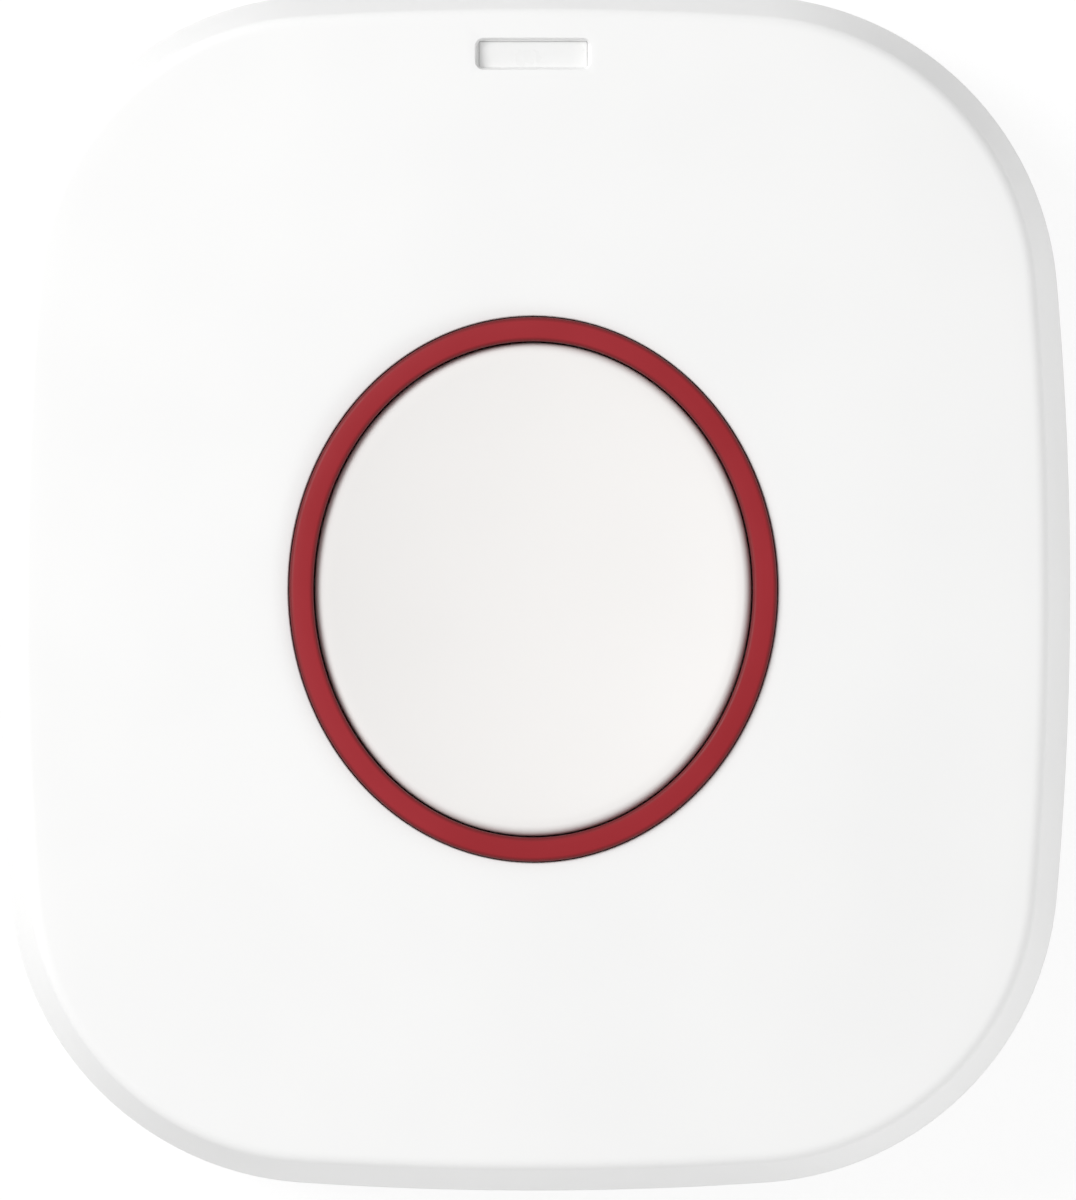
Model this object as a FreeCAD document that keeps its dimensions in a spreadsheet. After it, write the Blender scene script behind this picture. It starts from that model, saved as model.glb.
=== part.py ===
import FreeCAD, Part
import math
import os
import Sketcher

# Wireless panic button, lying on its back: +Z is the button side, +Y the end with the light window.
# Origin: middle of the flat back face. Lengths are millimetres.

os.makedirs("parts", exist_ok=True)
doc = FreeCAD.newDocument("PanicButton")

DRIVING_SIZES = {
    "housing": {
        "body_width": 53.6,
        "body_length": 60.0,
        "side_radius": 176.0,
        "end_radius": 168.0,
        "corner_radius": 15.6,
        "crown_height": 15.6,
        "crown_radius": 256.0,
        "seam_height": 5.4,
        "seam_chamfer": 0.2,
        "front_taper": 1.38,
        "crease_radius": 0.7,
        "back_taper": 1.0,
        "back_radius": 2.0,
        "front_wall": 1.8,
        "floor_thickness": 1.6,
    },
    "seam seal": {
        "lip_wall": 0.8,
        "shelf_wall": 2.2,
        "tongue_clearance": 0.15,
        "tongue_depth": 1.5,
        "gasket_height": 0.6,
        "gasket_clearance": 0.1,
    },
    "ring and button": {
        "ring_width": 24.15,
        "ring_length": 26.97,
        "ring_band": 1.15,
        "ring_depth": 2.35,
        "ring_proud": 0.3,
        "ring_edge": 0.25,
        "ring_clearance": 0.1,
        "ledge_thickness": 1.6,
        "turret_wall": 1.5,
        "button_clearance": 0.2,
        "button_drop": 0.3,
        "button_edge": 0.3,
        "button_skirt": 1.1,
        "button_wall": 1.2,
        "flange_reach": 1.1,
        "flange_thickness": 0.85,
        "flange_clearance": 0.3,
        "stop_gap": 0.05,
        "dish_depth": 1.3,
        "dish_reach": 30.0,
        "stem_radius": 1.6,
        "stem_rib": 0.9,
        "stem_gap": 0.1,
    },
    "board": {
        "board_height": 7.4,
        "board_thickness": 1.0,
        "board_inset": 3.2,
        "board_gap": 0.4,
        "post_inset": 0.4,
        "post_step": 8.2,
        "post_radius": 1.9,
        "pin_radius": 0.9,
        "board_screw_core": 0.7,
        "board_screw_head": 1.5,
        "board_screw_cap": 0.9,
        "board_screw_length": 4.4,
    },
    "button seal": {
        "seal_rim_height": 1.5,
        "seal_rim_width": 1.2,
        "seal_rim_gap": 0.15,
        "seal_web": 0.5,
        "seal_web_lift": 0.8,
        "hat_wall": 0.6,
        "hat_radius": 4.7,
        "pad_thickness": 0.8,
    },
    "tactile switch": {
        "switch_width": 5.2,
        "switch_body_height": 1.3,
        "switch_floor": 0.5,
        "switch_bore": 1.7,
        "frame_thickness": 0.2,
        "frame_leg": 1.1,
        "plunger_radius": 1.2,
        "plunger_foot": 1.6,
        "plunger_foot_height": 0.35,
        "plunger_rise": 0.4,
        "plunger_clearance": 0.08,
        "dome_thickness": 0.1,
        "dome_rise": 0.32,
        "dome_radius": 1.5,
    },
    "light window": {
        "slot_width": 5.84,
        "slot_height": 1.7,
        "slot_corner": 0.6,
        "slot_edge": 3.34,
        "slot_depth": 0.55,
        "pipe_width": 5.3,
        "pipe_depth": 1.25,
        "pipe_shift": 0.08,
        "pipe_clearance": 0.05,
        "pipe_foot_reach": 1.6,
        "pipe_foot_height": 1.0,
        "led_width": 3.2,
        "led_depth": 1.6,
        "led_height": 0.9,
        "led_shift": 1.16,
        "led_gap": 0.2,
    },
    "cell and door": {
        "cell_radius": 10.0,
        "cell_thickness": 3.2,
        "cell_cap_radius": 8.4,
        "cell_cap_step": 0.25,
        "cell_clearance": 0.25,
        "cell_lift": 0.1,
        "door_radius": 12.9,
        "door_clearance": 0.2,
        "door_recess": 0.05,
        "door_flange": 1.15,
        "door_hub_radius": 10.7,
        "door_hub_clearance": 0.2,
        "door_floor_gap": 0.05,
        "ledge_ring": 1.1,
        "lug_radius": 11.6,
        "lug_thickness": 0.8,
        "lug_gap": 0.08,
        "lug_arc": 24.0,
        "lug_notch_arc": 30.0,
        "lug_count": 3,
        "lug_turn": 50.0,
        "well_wall": 1.25,
        "coin_slot_length": 15.0,
        "coin_slot_width": 1.9,
        "coin_slot_depth": 1.0,
        "door_seal_radius": 12.35,
        "door_seal_cord": 0.3,
        "door_seal_gap": 0.03,
    },
    "cell contacts": {
        "contact_sheet": 0.2,
        "contact_width": 3.6,
        "contact_slot": 4.6,
        "contact_foot": 3.0,
        "contact_gap": 0.03,
        "finger_width": 2.6,
        "finger_start": 5.0,
        "finger_foot": 3.2,
    },
    "screws and bosses": {
        "boss_edge": 9.2,
        "rear_boss_radius": 3.1,
        "front_boss_radius": 2.6,
        "boss_seam_gap": 0.1,
        "screw_core": 0.95,
        "screw_fit": 0.05,
        "screw_passage": 1.2,
        "screw_head": 1.9,
        "screw_cap": 1.3,
        "screw_sink": 0.7,
        "screw_pocket": 2.15,
        "screw_length": 7.8,
        "screw_cross": 1.9,
        "screw_cross_width": 0.45,
        "screw_cross_depth": 0.6,
    },
    "wall keyholes": {
        "keyhole_gap": 0.25,
        "keyhole_travel": 4.5,
        "keyhole_slot": 1.7,
        "keyhole_head": 3.2,
        "keyhole_depth": 2.7,
        "keyhole_wall": 0.9,
    },
    "ribs": {
        "rib_width": 1.0,
        "front_rib_height": 12.0,
        "rear_rib_height": 3.0,
    },
    "circuit parts": {
        "radio_edge": 4.7,
        "radio_gap": 2.0,
        "radio_length": 9.6,
        "radio_height": 1.7,
        "radio_corner": 0.5,
        "chip_x": 8.0,
        "chip_edge": 9.4,
        "chip_size": 5.0,
        "chip_height": 0.9,
        "crystal_x": 6.6,
        "crystal_edge": 9.8,
        "crystal_length": 3.2,
        "crystal_width": 2.5,
        "crystal_height": 0.75,
        "capacitor_length": 1.6,
        "capacitor_width": 0.8,
        "capacitor_height": 0.8,
        "capacitor_pitch": 2.0,
        "capacitor_edge": 6.8,
        "tank_x": 5.2,
        "tank_edge": 9.4,
        "tank_length": 6.0,
        "tank_width": 3.2,
        "tank_height": 2.2,
        "antenna_edge": 5.9,
        "antenna_span": 22.0,
        "antenna_rise": 2.8,
        "antenna_wire": 0.4,
        "antenna_bend": 1.2,
    },
}

CAPACITOR_COUNT = 3
FULL_TURN = 360.0


def fill_sheet():
    """Writes every driving size into the sheet, one row each, under its group's title."""
    sheet = doc.addObject("Spreadsheet::Sheet", "Sizes")
    row = 1
    for title, sizes in DRIVING_SIZES.items():
        sheet.set(f"A{row}", title)
        row += 1
        for alias, number in sizes.items():
            sheet.set(f"A{row}", alias.replace("_", " "))
            sheet.set(f"B{row}", str(number))
            sheet.setAlias(f"B{row}", alias)
            row += 1
    doc.recompute()
    return sheet


class Size:
    """A length as an expression on the sheet, together with its present value."""

    def __init__(self, text, number):
        self.text = text
        self.number = number

    def combined(self, sign, other, number):
        return Size(f"({self.text} {sign} {as_size(other).text})", number)

    def __add__(self, other):
        return self.combined("+", other, self.number + as_size(other).number)

    def __sub__(self, other):
        return self.combined("-", other, self.number - as_size(other).number)

    def __mul__(self, other):
        return self.combined("*", other, self.number * as_size(other).number)

    def __truediv__(self, other):
        return self.combined("/", other, self.number / as_size(other).number)

    def __neg__(self):
        return Size(f"(0 - {self.text})", -self.number)


def as_size(item):
    return item if isinstance(item, Size) else Size(repr(float(item)), float(item))


def read_sizes(sheet):
    """Gives each alias of the sheet as a Size."""
    found = {}
    for sizes in DRIVING_SIZES.values():
        for alias in sizes:
            found[alias] = Size(f"Sizes.{alias}", float(sheet.get(alias)))
    return found


class Named:
    """Lets a size be read as an attribute, such as S.body_width."""

    def __init__(self, table):
        self.__dict__.update(table)


S = Named(read_sizes(fill_sheet()))
ZERO = as_size(0)


# Sizes that several pieces share

half_width = S.body_width / 2
half_length = S.body_length / 2
board_top = S.board_height + S.board_thickness
seat_height = S.crown_height - S.ring_depth
ledge_underside = seat_height - S.ledge_thickness
seal_rim_top = board_top + S.seal_rim_height
ring_outer = (S.ring_width / 2, S.ring_length / 2)
button_rim = S.crown_height - S.button_drop
flange_top = ledge_underside - S.stop_gap
switch_top = board_top + S.switch_body_height + S.frame_thickness
plunger_top = switch_top + S.plunger_rise
pad_top = plunger_top + S.pad_thickness
stem_end = pad_top + S.stem_gap
shelf_height = S.seam_height - S.tongue_depth - S.gasket_height
front_lift = S.crown_height - S.seam_height
cell_radius_room = S.cell_radius + S.cell_clearance
recess_radius = S.door_radius + S.door_clearance
recess_floor = S.door_recess + S.door_flange + S.door_floor_gap
lock_height = recess_floor + S.ledge_ring
lug_base = lock_height + S.lug_gap
lug_room = lug_base + S.lug_thickness + S.lug_gap
ledge_bore = S.door_hub_radius + S.door_hub_clearance
cell_base = lug_room + S.cell_lift
cell_top = cell_base + S.cell_thickness
door_seal_height = recess_floor - S.door_seal_cord - S.door_seal_gap
well_radius = recess_radius + S.well_wall
well_top = S.board_height
boss_x = half_width - S.boss_edge
boss_y = half_length - S.boss_edge
post_x = boss_x - S.post_inset
post_y = boss_y - S.post_step
slot_y = half_length - S.slot_edge
pipe_y = slot_y - S.pipe_shift
pipe_inner_y = pipe_y - S.pipe_depth / 2
pipe_foot_y = pipe_inner_y - S.pipe_foot_reach
tank_y = half_length - S.tank_edge
keyhole_middle = well_radius + S.keyhole_gap + S.keyhole_head + S.keyhole_travel / 2


def oval(pair, change):
    """The two half axes of an oval, both made larger by one amount."""
    return (pair[0] + change, pair[1] + change)


ring_inner = oval(ring_outer, -S.ring_band)
ring_seat = oval(ring_outer, S.ring_clearance)
button_outer = oval(ring_inner, -S.button_clearance)
button_inner = oval(button_outer, -S.button_skirt)
flange_outer = oval(button_outer, S.flange_reach)
turret_inner = oval(flange_outer, S.flange_clearance)
turret_outer = oval(ring_seat, S.turret_wall)
seal_outer = oval(turret_outer, -S.seal_rim_gap)
seal_inner = oval(seal_outer, -S.seal_rim_width)


# Bodies, sketches and constraints

def new_body(name):
    body = doc.addObject("PartDesign::Body", name)
    body.Label = name
    body.AllowCompound = True
    return body


def origin_feature(body, role):
    for feature in body.Origin.OriginFeatures:
        if feature.Role == role:
            return feature
    raise RuntimeError(f"{body.Label} has no {role}")


def new_sketch(body, name, plane="XY_Plane", height=ZERO):
    """A sketch on one of the body's own origin planes, lifted along that plane's normal."""
    sketch = body.newObject("Sketcher::SketchObject", name)
    sketch.AttachmentSupport = [(origin_feature(body, plane), "")]
    sketch.MapMode = "FlatFace"
    sketch.AttachmentOffset = FreeCAD.Placement(FreeCAD.Vector(0, 0, height.number), FreeCAD.Rotation())
    if height is not ZERO:
        sketch.setExpression("AttachmentOffset.Base.z", height.text)
    return sketch


def dimension(sketch, kind, places, size):
    """Adds a driving dimension and ties it to the sheet."""
    index = sketch.addConstraint(Sketcher.Constraint(kind, *places, size.number))
    label = f"size{index}"
    sketch.renameConstraint(index, label)
    sketch.setExpression(f"Constraints.{label}", size.text)


def relation(sketch, kind, *places):
    sketch.addConstraint(Sketcher.Constraint(kind, *places))


# A sketch's own numbers for its axes, for the places on a line or an arc, and for the origin
ACROSS_AXIS, UPRIGHT_AXIS = range(-1, -3, -1)
START, END, CENTRE = range(1, 4)
ORIGIN_POINT = (ACROSS_AXIS, START)


def place_point(sketch, point, across, upright):
    """Holds a point at two distances from the sketch's origin."""
    for kind, axis, size in (("DistanceX", UPRIGHT_AXIS, across), ("DistanceY", ACROSS_AXIS, upright)):
        if size.number == 0:
            relation(sketch, "PointOnObject", *point, axis)
        elif size.number > 0:
            dimension(sketch, kind, (*ORIGIN_POINT, *point), size)
        else:
            dimension(sketch, kind, (*point, *ORIGIN_POINT), -size)


def vector(across, upright):
    return FreeCAD.Vector(as_size(across).number, as_size(upright).number, 0)


UP = FreeCAD.Vector(0, 0, 1)


def draw_circle(sketch, across, upright, radius):
    circle = sketch.addGeometry(Part.Circle(vector(across, upright), UP, radius.number), False)
    place_point(sketch, (circle, CENTRE), as_size(across), as_size(upright))
    dimension(sketch, "Radius", (circle,), radius)


def draw_oval(sketch, half_axes):
    """An oval on the origin whose long axis is upright."""
    short_half, long_half = half_axes
    ellipse = Part.Ellipse(vector(0, long_half), vector(short_half, 0), vector(0, 0))
    index = sketch.addGeometry(ellipse, False)
    sketch.exposeInternalGeometry(index)
    long_axis = index + 1
    short_axis = index + 2
    relation(sketch, "Coincident", index, CENTRE, *ORIGIN_POINT)
    relation(sketch, "Vertical", long_axis)
    dimension(sketch, "Distance", (long_axis,), long_half * 2)
    dimension(sketch, "Distance", (short_axis,), short_half * 2)


def draw_polygon(sketch, points):
    """A closed run of straight lines through the points, each held by its own two distances."""
    points = [(as_size(across), as_size(upright)) for across, upright in points]
    lines = []
    for start, end in zip(points, points[1:] + points[:1]):
        lines.append(sketch.addGeometry(Part.LineSegment(vector(*start), vector(*end)), False))
    for line, following in zip(lines, lines[1:] + lines[:1]):
        relation(sketch, "Coincident", line, END, following, START)
    for line, (across, upright) in zip(lines, points):
        place_point(sketch, (line, START), across, upright)
    return lines


def draw_box(sketch, centre, width, length):
    """A rectangle about a centre."""
    across_half = as_size(width) / 2
    upright_half = as_size(length) / 2
    across = as_size(centre[0])
    upright = as_size(centre[1])
    draw_polygon(sketch, [
        (across - across_half, upright - upright_half),
        (across + across_half, upright - upright_half),
        (across + across_half, upright + upright_half),
        (across - across_half, upright + upright_half),
    ])


def draw_rounded_box(sketch, centre_y, width, length, radius):
    """A rectangle with round corners, centred on the upright axis."""
    across_half = width.number / 2
    low = centre_y.number - length.number / 2
    high = centre_y.number + length.number / 2
    bend = radius.number
    quarter = math.pi / 2
    runs = [
        ((-across_half + bend, low), (across_half - bend, low)),
        ((across_half, low + bend), (across_half, high - bend)),
        ((across_half - bend, high), (-across_half + bend, high)),
        ((-across_half, high - bend), (-across_half, low + bend)),
    ]
    corners = [
        (across_half - bend, low + bend, 3 * quarter),
        (across_half - bend, high - bend, 0),
        (-across_half + bend, high - bend, quarter),
        (-across_half + bend, low + bend, 2 * quarter),
    ]
    lines = []
    arcs = []
    for (start, end), (across, upright, angle) in zip(runs, corners):
        lines.append(sketch.addGeometry(Part.LineSegment(vector(*start), vector(*end)), False))
        circle = Part.Circle(vector(across, upright), UP, bend)
        arcs.append(sketch.addGeometry(Part.ArcOfCircle(circle, angle, angle + quarter), False))
    for place in range(4):
        relation(sketch, "Tangent", lines[place], END, arcs[place], START)
        relation(sketch, "Tangent", arcs[place], END, lines[(place + 1) % 4], START)
        if place:
            relation(sketch, "Equal", arcs[0], arcs[place])
    relation(sketch, "Horizontal", lines[0])
    relation(sketch, "Horizontal", lines[2])
    relation(sketch, "Vertical", lines[1])
    relation(sketch, "Vertical", lines[3])
    dimension(sketch, "Radius", (arcs[0],), radius)
    dimension(sketch, "DistanceX", (*ORIGIN_POINT, lines[1], START), width / 2)
    dimension(sketch, "DistanceX", (lines[3], START, *ORIGIN_POINT), width / 2)
    dimension(sketch, "DistanceY", (*ORIGIN_POINT, lines[0], START), centre_y - length / 2)
    dimension(sketch, "DistanceY", (*ORIGIN_POINT, lines[2], START), centre_y + length / 2)


def corner_centre():
    """Centre of the corner arc, from the two large arcs that it joins."""
    side_x = half_width.number - S.side_radius.number
    end_y = half_length.number - S.end_radius.number
    from_side = S.side_radius.number - S.corner_radius.number
    from_end = S.end_radius.number - S.corner_radius.number
    span = math.hypot(side_x, end_y)
    along = (from_side ** 2 - from_end ** 2 + span ** 2) / (2 * span)
    off = math.sqrt(from_side ** 2 - along ** 2)
    unit_x = -side_x / span
    unit_y = end_y / span
    return side_x + along * unit_x - off * unit_y, along * unit_y + off * unit_x


def draw_outline(sketch, inset):
    """The soft-cornered outline: four large arcs and four corner arcs, tangent all the way round."""
    inset = as_size(inset)
    corner_x, corner_y = corner_centre()
    side_offset = S.side_radius - half_width
    end_offset = S.end_radius - half_length
    side_angle = math.atan2(corner_y, corner_x + side_offset.number)
    end_angle = math.atan2(corner_y + end_offset.number, corner_x)
    quarter = math.pi / 2
    side = S.side_radius - inset
    end = S.end_radius - inset
    bend = S.corner_radius - inset
    arcs = []
    for turn in range(4):
        base = turn * quarter
        is_side = turn % 2 == 0
        radius = side if is_side else end
        reach = side_offset.number if is_side else end_offset.number
        half = side_angle if is_side else quarter - end_angle
        centre = vector(-reach * math.cos(base), -reach * math.sin(base))
        large = Part.Circle(centre, UP, radius.number)
        arcs.append(sketch.addGeometry(Part.ArcOfCircle(large, base - half, base + half), False))
        sign_x = 1 if turn in (0, 3) else -1
        sign_y = 1 if turn in (0, 1) else -1
        next_half = quarter - end_angle if is_side else side_angle
        small = Part.Circle(vector(sign_x * corner_x, sign_y * corner_y), UP, bend.number)
        arcs.append(sketch.addGeometry(
            Part.ArcOfCircle(small, base + half, base + quarter - next_half), False))
    for place, arc in enumerate(arcs):
        relation(sketch, "Tangent", arc, END, arcs[(place + 1) % len(arcs)], START)
    right, top, left, bottom = arcs[0::2]
    for arc, axis in ((right, ACROSS_AXIS), (left, ACROSS_AXIS), (top, UPRIGHT_AXIS), (bottom, UPRIGHT_AXIS)):
        relation(sketch, "PointOnObject", arc, CENTRE, axis)
    relation(sketch, "Equal", right, left)
    relation(sketch, "Equal", top, bottom)
    for corner in arcs[3::2]:
        relation(sketch, "Equal", arcs[1], corner)
    dimension(sketch, "Radius", (right,), side)
    dimension(sketch, "Radius", (top,), end)
    dimension(sketch, "Radius", (arcs[1],), bend)
    dimension(sketch, "DistanceX", (right, CENTRE, *ORIGIN_POINT), side_offset)
    dimension(sketch, "DistanceX", (*ORIGIN_POINT, left, CENTRE), side_offset)
    dimension(sketch, "DistanceY", (top, CENTRE, *ORIGIN_POINT), end_offset)
    dimension(sketch, "DistanceY", (*ORIGIN_POINT, bottom, CENTRE), end_offset)


# Features

def set_length(feature, prop, size):
    setattr(feature, prop, size.number)
    feature.setExpression(prop, size.text)


def pad(body, name, low, high, draw, *arguments):
    """Pads a horizontal sketch from one height to another."""
    sketch = new_sketch(body, name + "_sketch", height=as_size(low))
    draw(sketch, *arguments)
    feature = body.newObject("PartDesign::Pad", name)
    feature.Profile = sketch
    set_length(feature, "Length", as_size(high) - low)
    return feature


def pocket(body, name, low, high, draw, *arguments):
    """Cuts a horizontal sketch from one height down to another."""
    sketch = new_sketch(body, name + "_sketch", height=as_size(high))
    draw(sketch, *arguments)
    feature = body.newObject("PartDesign::Pocket", name)
    feature.Profile = sketch
    set_length(feature, "Length", as_size(high) - low)
    return feature


def turned(body, name, points, cut=False):
    """Revolves a profile of (radius, height) points about the upright axis."""
    sketch = new_sketch(body, name + "_sketch", plane="XZ_Plane")
    draw_polygon(sketch, points)
    kind = "PartDesign::Groove" if cut else "PartDesign::Revolution"
    feature = body.newObject(kind, name)
    feature.Profile = sketch
    feature.ReferenceAxis = (sketch, ["V_Axis"])
    feature.Angle = FULL_TURN
    return feature


def upright_pad(body, name, plane, width, points):
    """Pads a profile drawn on an upright plane, half to each side."""
    sketch = new_sketch(body, name + "_sketch", plane=plane)
    draw_polygon(sketch, points)
    feature = body.newObject("PartDesign::Pad", name)
    feature.Profile = sketch
    feature.Midplane = True
    set_length(feature, "Length", as_size(width))
    return feature


def draw_all(sketch, drawings):
    """Draws several shapes in one sketch, each given as (function, arguments)."""
    for draw, *arguments in drawings:
        draw(sketch, *arguments)


def tapered_form(body, name, low, low_inset, high, high_inset):
    """Lofts the outline between two heights with an inset at each."""
    lower = new_sketch(body, name + "_lower", height=as_size(low))
    draw_outline(lower, low_inset)
    upper = new_sketch(body, name + "_upper", height=as_size(high))
    draw_outline(upper, high_inset)
    loft = body.newObject("PartDesign::AdditiveLoft", name)
    loft.Profile = lower
    loft.Sections = [upper]
    loft.Ruled = True
    return loft


CROWN_HEADROOM = 4.0
CROWN_MARGIN = 1.2


def draw_crown_room(sketch, radius, reach):
    """A curved strip above a circle about the sketch's origin, as wide as the reach to each side."""
    upper = radius + CROWN_HEADROOM
    middle = vector(0, 0)
    arcs = []
    for arc_radius in (radius, upper):
        half = math.asin(reach.number / arc_radius.number)
        circle = Part.Circle(middle, UP, arc_radius.number)
        arcs.append(sketch.addGeometry(Part.ArcOfCircle(circle, math.pi / 2 - half, math.pi / 2 + half), False))
    sides = []
    for side in (reach, -reach):
        ends = [vector(side, math.sqrt(bow.number ** 2 - reach.number ** 2)) for bow in (radius, upper)]
        sides.append(sketch.addGeometry(Part.LineSegment(*ends), False))
    lower_arc, upper_arc = arcs
    for end, side in zip((START, END), sides):
        relation(sketch, "Coincident", lower_arc, end, side, START)
        relation(sketch, "Coincident", upper_arc, end, side, END)
        relation(sketch, "Vertical", side)
    for arc, arc_radius in zip(arcs, (radius, upper)):
        relation(sketch, "Coincident", arc, CENTRE, *ORIGIN_POINT)
        dimension(sketch, "Radius", (arc,), arc_radius)
    right, left = sides
    dimension(sketch, "DistanceX", (*ORIGIN_POINT, right, START), reach)
    dimension(sketch, "DistanceX", (left, START, *ORIGIN_POINT), reach)


def crown_cut(body, name, top, radius):
    """Takes away what lies above a sphere whose highest point is at the given height."""
    sketch = new_sketch(body, name + "_sketch", plane="XZ_Plane")
    centre = top - radius
    sketch.AttachmentOffset = FreeCAD.Placement(vector(0, centre), FreeCAD.Rotation())
    sketch.setExpression("AttachmentOffset.Base.y", centre.text)
    reach = half_length * CROWN_MARGIN
    draw_crown_room(sketch, radius, reach)
    groove = body.newObject("PartDesign::Groove", name)
    groove.Profile = sketch
    groove.ReferenceAxis = (sketch, ["H_Axis"])
    groove.Midplane = True
    swing = Size(f"(2 * asin({reach.text} / {radius.text}) / 1 deg)",
                 2 * math.degrees(math.asin(reach.number / radius.number)))
    set_length(groove, "Angle", swing)
    return groove


HEIGHT_MATCH = 1e-4


def edges_between(feature, low, high, keep=lambda edge: True):
    """Names of the edges that lie wholly between two heights."""
    names = []
    for place, edge in enumerate(feature.Shape.Edges, start=1):
        box = edge.BoundBox
        if box.ZMin > low - HEIGHT_MATCH and box.ZMax < high + HEIGHT_MATCH and keep(edge):
            names.append(f"Edge{place}")
    return names


def dressed(body, kind, name, base, edges, prop, size):
    """Adds a fillet or a chamfer to the named edges of the base feature."""
    feature = body.newObject(f"PartDesign::{kind}", name)
    feature.Base = (base, edges)
    set_length(feature, prop, size)
    return feature


def boolean(kind, name, base, tools):
    """Cuts, fuses or intersects finished shapes."""
    if kind == "Fuse":
        result = doc.addObject("Part::MultiFuse", name)
        result.Shapes = [base, *tools]
    else:
        result = doc.addObject(f"Part::{kind}", name)
        result.Base = base
        result.Tool = tools[0]
    result.Label = name
    return result


# Front cover: a drafted shell under a crowned face, with an oval turret for the ring and the button

def front_form():
    body = new_body("front_form")
    eased = S.seam_height + S.seam_chamfer
    eased_inset = S.front_taper * S.seam_chamfer / front_lift
    tapered_form(body, "front_seam_edge", S.seam_height, S.seam_chamfer, eased, eased_inset)
    tapered_form(body, "front_draft", eased, eased_inset, S.crown_height, S.front_taper)
    crown = crown_cut(body, "front_crown", S.crown_height, S.crown_radius)
    doc.recompute()
    crease = edges_between(crown, S.crown_height.number - S.ring_depth.number * 2, S.crown_height.number)
    dressed(body, "Fillet", "front_crease", crown, crease, "Radius", S.crease_radius)
    return body


def inner_form(name, wall):
    """The front's form drawn in by a wall on all sides, from the shelf of the rear cover upwards."""
    body = new_body(name)
    low_inset = wall - S.front_taper * (S.seam_height - shelf_height) / front_lift
    tapered_form(body, name + "_draft", shelf_height, low_inset, S.crown_height, S.front_taper + wall)
    crown_cut(body, name + "_crown", S.crown_height - wall, S.crown_radius - wall)
    return body


def corner_places(across, upright):
    return [(across, upright), (-across, upright), (-across, -upright), (across, -upright)]


def circles_at(places, radius):
    return [(draw_circle, across, upright, radius) for across, upright in places]


case_screw_places = corner_places(boss_x, boss_y)
board_screw_places = [(post_x, -post_y), (-post_x, post_y)]
board_pin_places = [(post_x, post_y), (-post_x, -post_y)]


def front_structure():
    """Turret, bosses, posts and ribs, from the height where each starts up into the face."""
    body = new_body("front_structure")
    top = S.crown_height
    boss_foot = S.seam_height + S.boss_seam_gap
    pad(body, "front_bosses", boss_foot, top, draw_all, circles_at(case_screw_places, S.front_boss_radius))
    posts = circles_at(board_screw_places + board_pin_places, S.post_radius)
    pad(body, "board_posts", board_top, top, draw_all, posts)
    pad(body, "board_pins", S.board_height, board_top, draw_all, circles_at(board_pin_places, S.pin_radius))
    pad(body, "turret", seal_rim_top, top, draw_oval, turret_outer)
    cross = [(draw_box, (0, 0), S.body_width, S.rib_width)]
    pad(body, "rib_across", S.front_rib_height, top, draw_all, cross)
    upright = [(draw_box, (0, 0), S.rib_width, (pipe_foot_y - S.board_gap) * 2)]
    pad(body, "rib_upright", S.front_rib_height, top, draw_all, upright)
    return body


def front_tongue():
    """Block of the tongue that goes down inside the rear cover's lip and presses on the gasket."""
    body = new_body("front_tongue")
    outer = S.lip_wall + S.tongue_clearance
    low = S.seam_height - S.tongue_depth
    high = S.seam_height + S.tongue_depth
    pad(body, "tongue", low, high, draw_outline, outer)
    return body


def window_room():
    """Room for the light pipe, with the recessed slot above it."""
    width = S.pipe_width + S.pipe_clearance * 2
    depth = S.pipe_depth + S.pipe_clearance * 2
    return [(draw_box, (0, pipe_y), width, depth)]


def face_height(across, upright):
    """Height of the crowned face over a place, for sizes that hang from the face."""
    reach = math.hypot(across.number, upright.number)
    fall = S.crown_radius.number - math.sqrt(S.crown_radius.number ** 2 - reach ** 2)
    text = (f"({S.crown_height.text} - {S.crown_radius.text} + sqrt({S.crown_radius.text} ^ 2"
            f" - {across.text} ^ 2 - {upright.text} ^ 2))")
    return Size(text, S.crown_height.number - fall)


window_face = face_height(ZERO, slot_y)
window_floor = window_face - S.slot_depth


def front_cuts():
    """Everything that is opened in the front cover once it is one shell."""
    body = new_body("front_cuts")
    above = S.crown_height + S.ring_proud * 2
    pad(body, "ring_seat", seat_height, above, draw_oval, ring_seat)
    pad(body, "button_way", ledge_underside - S.stop_gap, seat_height, draw_oval, ring_inner)
    pad(body, "flange_room", S.board_height, ledge_underside, draw_oval, turret_inner)
    depth_room = S.screw_length + S.screw_sink + S.screw_cap + S.boss_seam_gap
    pilots = circles_at(case_screw_places, S.screw_core + S.screw_fit)
    pad(body, "case_pilots", 0, depth_room, draw_all, pilots)
    board_room = S.board_height + S.board_screw_length + S.boss_seam_gap
    board_pilots = circles_at(board_screw_places, S.board_screw_core + S.screw_fit)
    pad(body, "board_pilots", board_top, board_room, draw_all, board_pilots)
    pad(body, "window_way", S.board_height, window_floor, draw_all, window_room())
    slot = [(draw_rounded_box, slot_y, S.slot_width, S.slot_height, S.slot_corner)]
    pad(body, "window_slot", window_floor, above, draw_all, slot)
    return body


def front_cover():
    """The shell is hollowed with its tongue on, and the structure roots half way into its wall."""
    blank = boolean("Fuse", "front_blank", front_form(), [front_tongue()])
    shell = boolean("Cut", "front_shell", blank, [inner_form("front_cavity", S.front_wall)])
    roots = inner_form("front_roots", S.front_wall / 2)
    inside = boolean("Common", "front_inside", front_structure(), [roots])
    whole = boolean("Fuse", "front_whole", shell, [inside])
    return boolean("Cut", "front_cover", whole, [front_cuts()])


# Ring, button and the light pipe in the front

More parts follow.
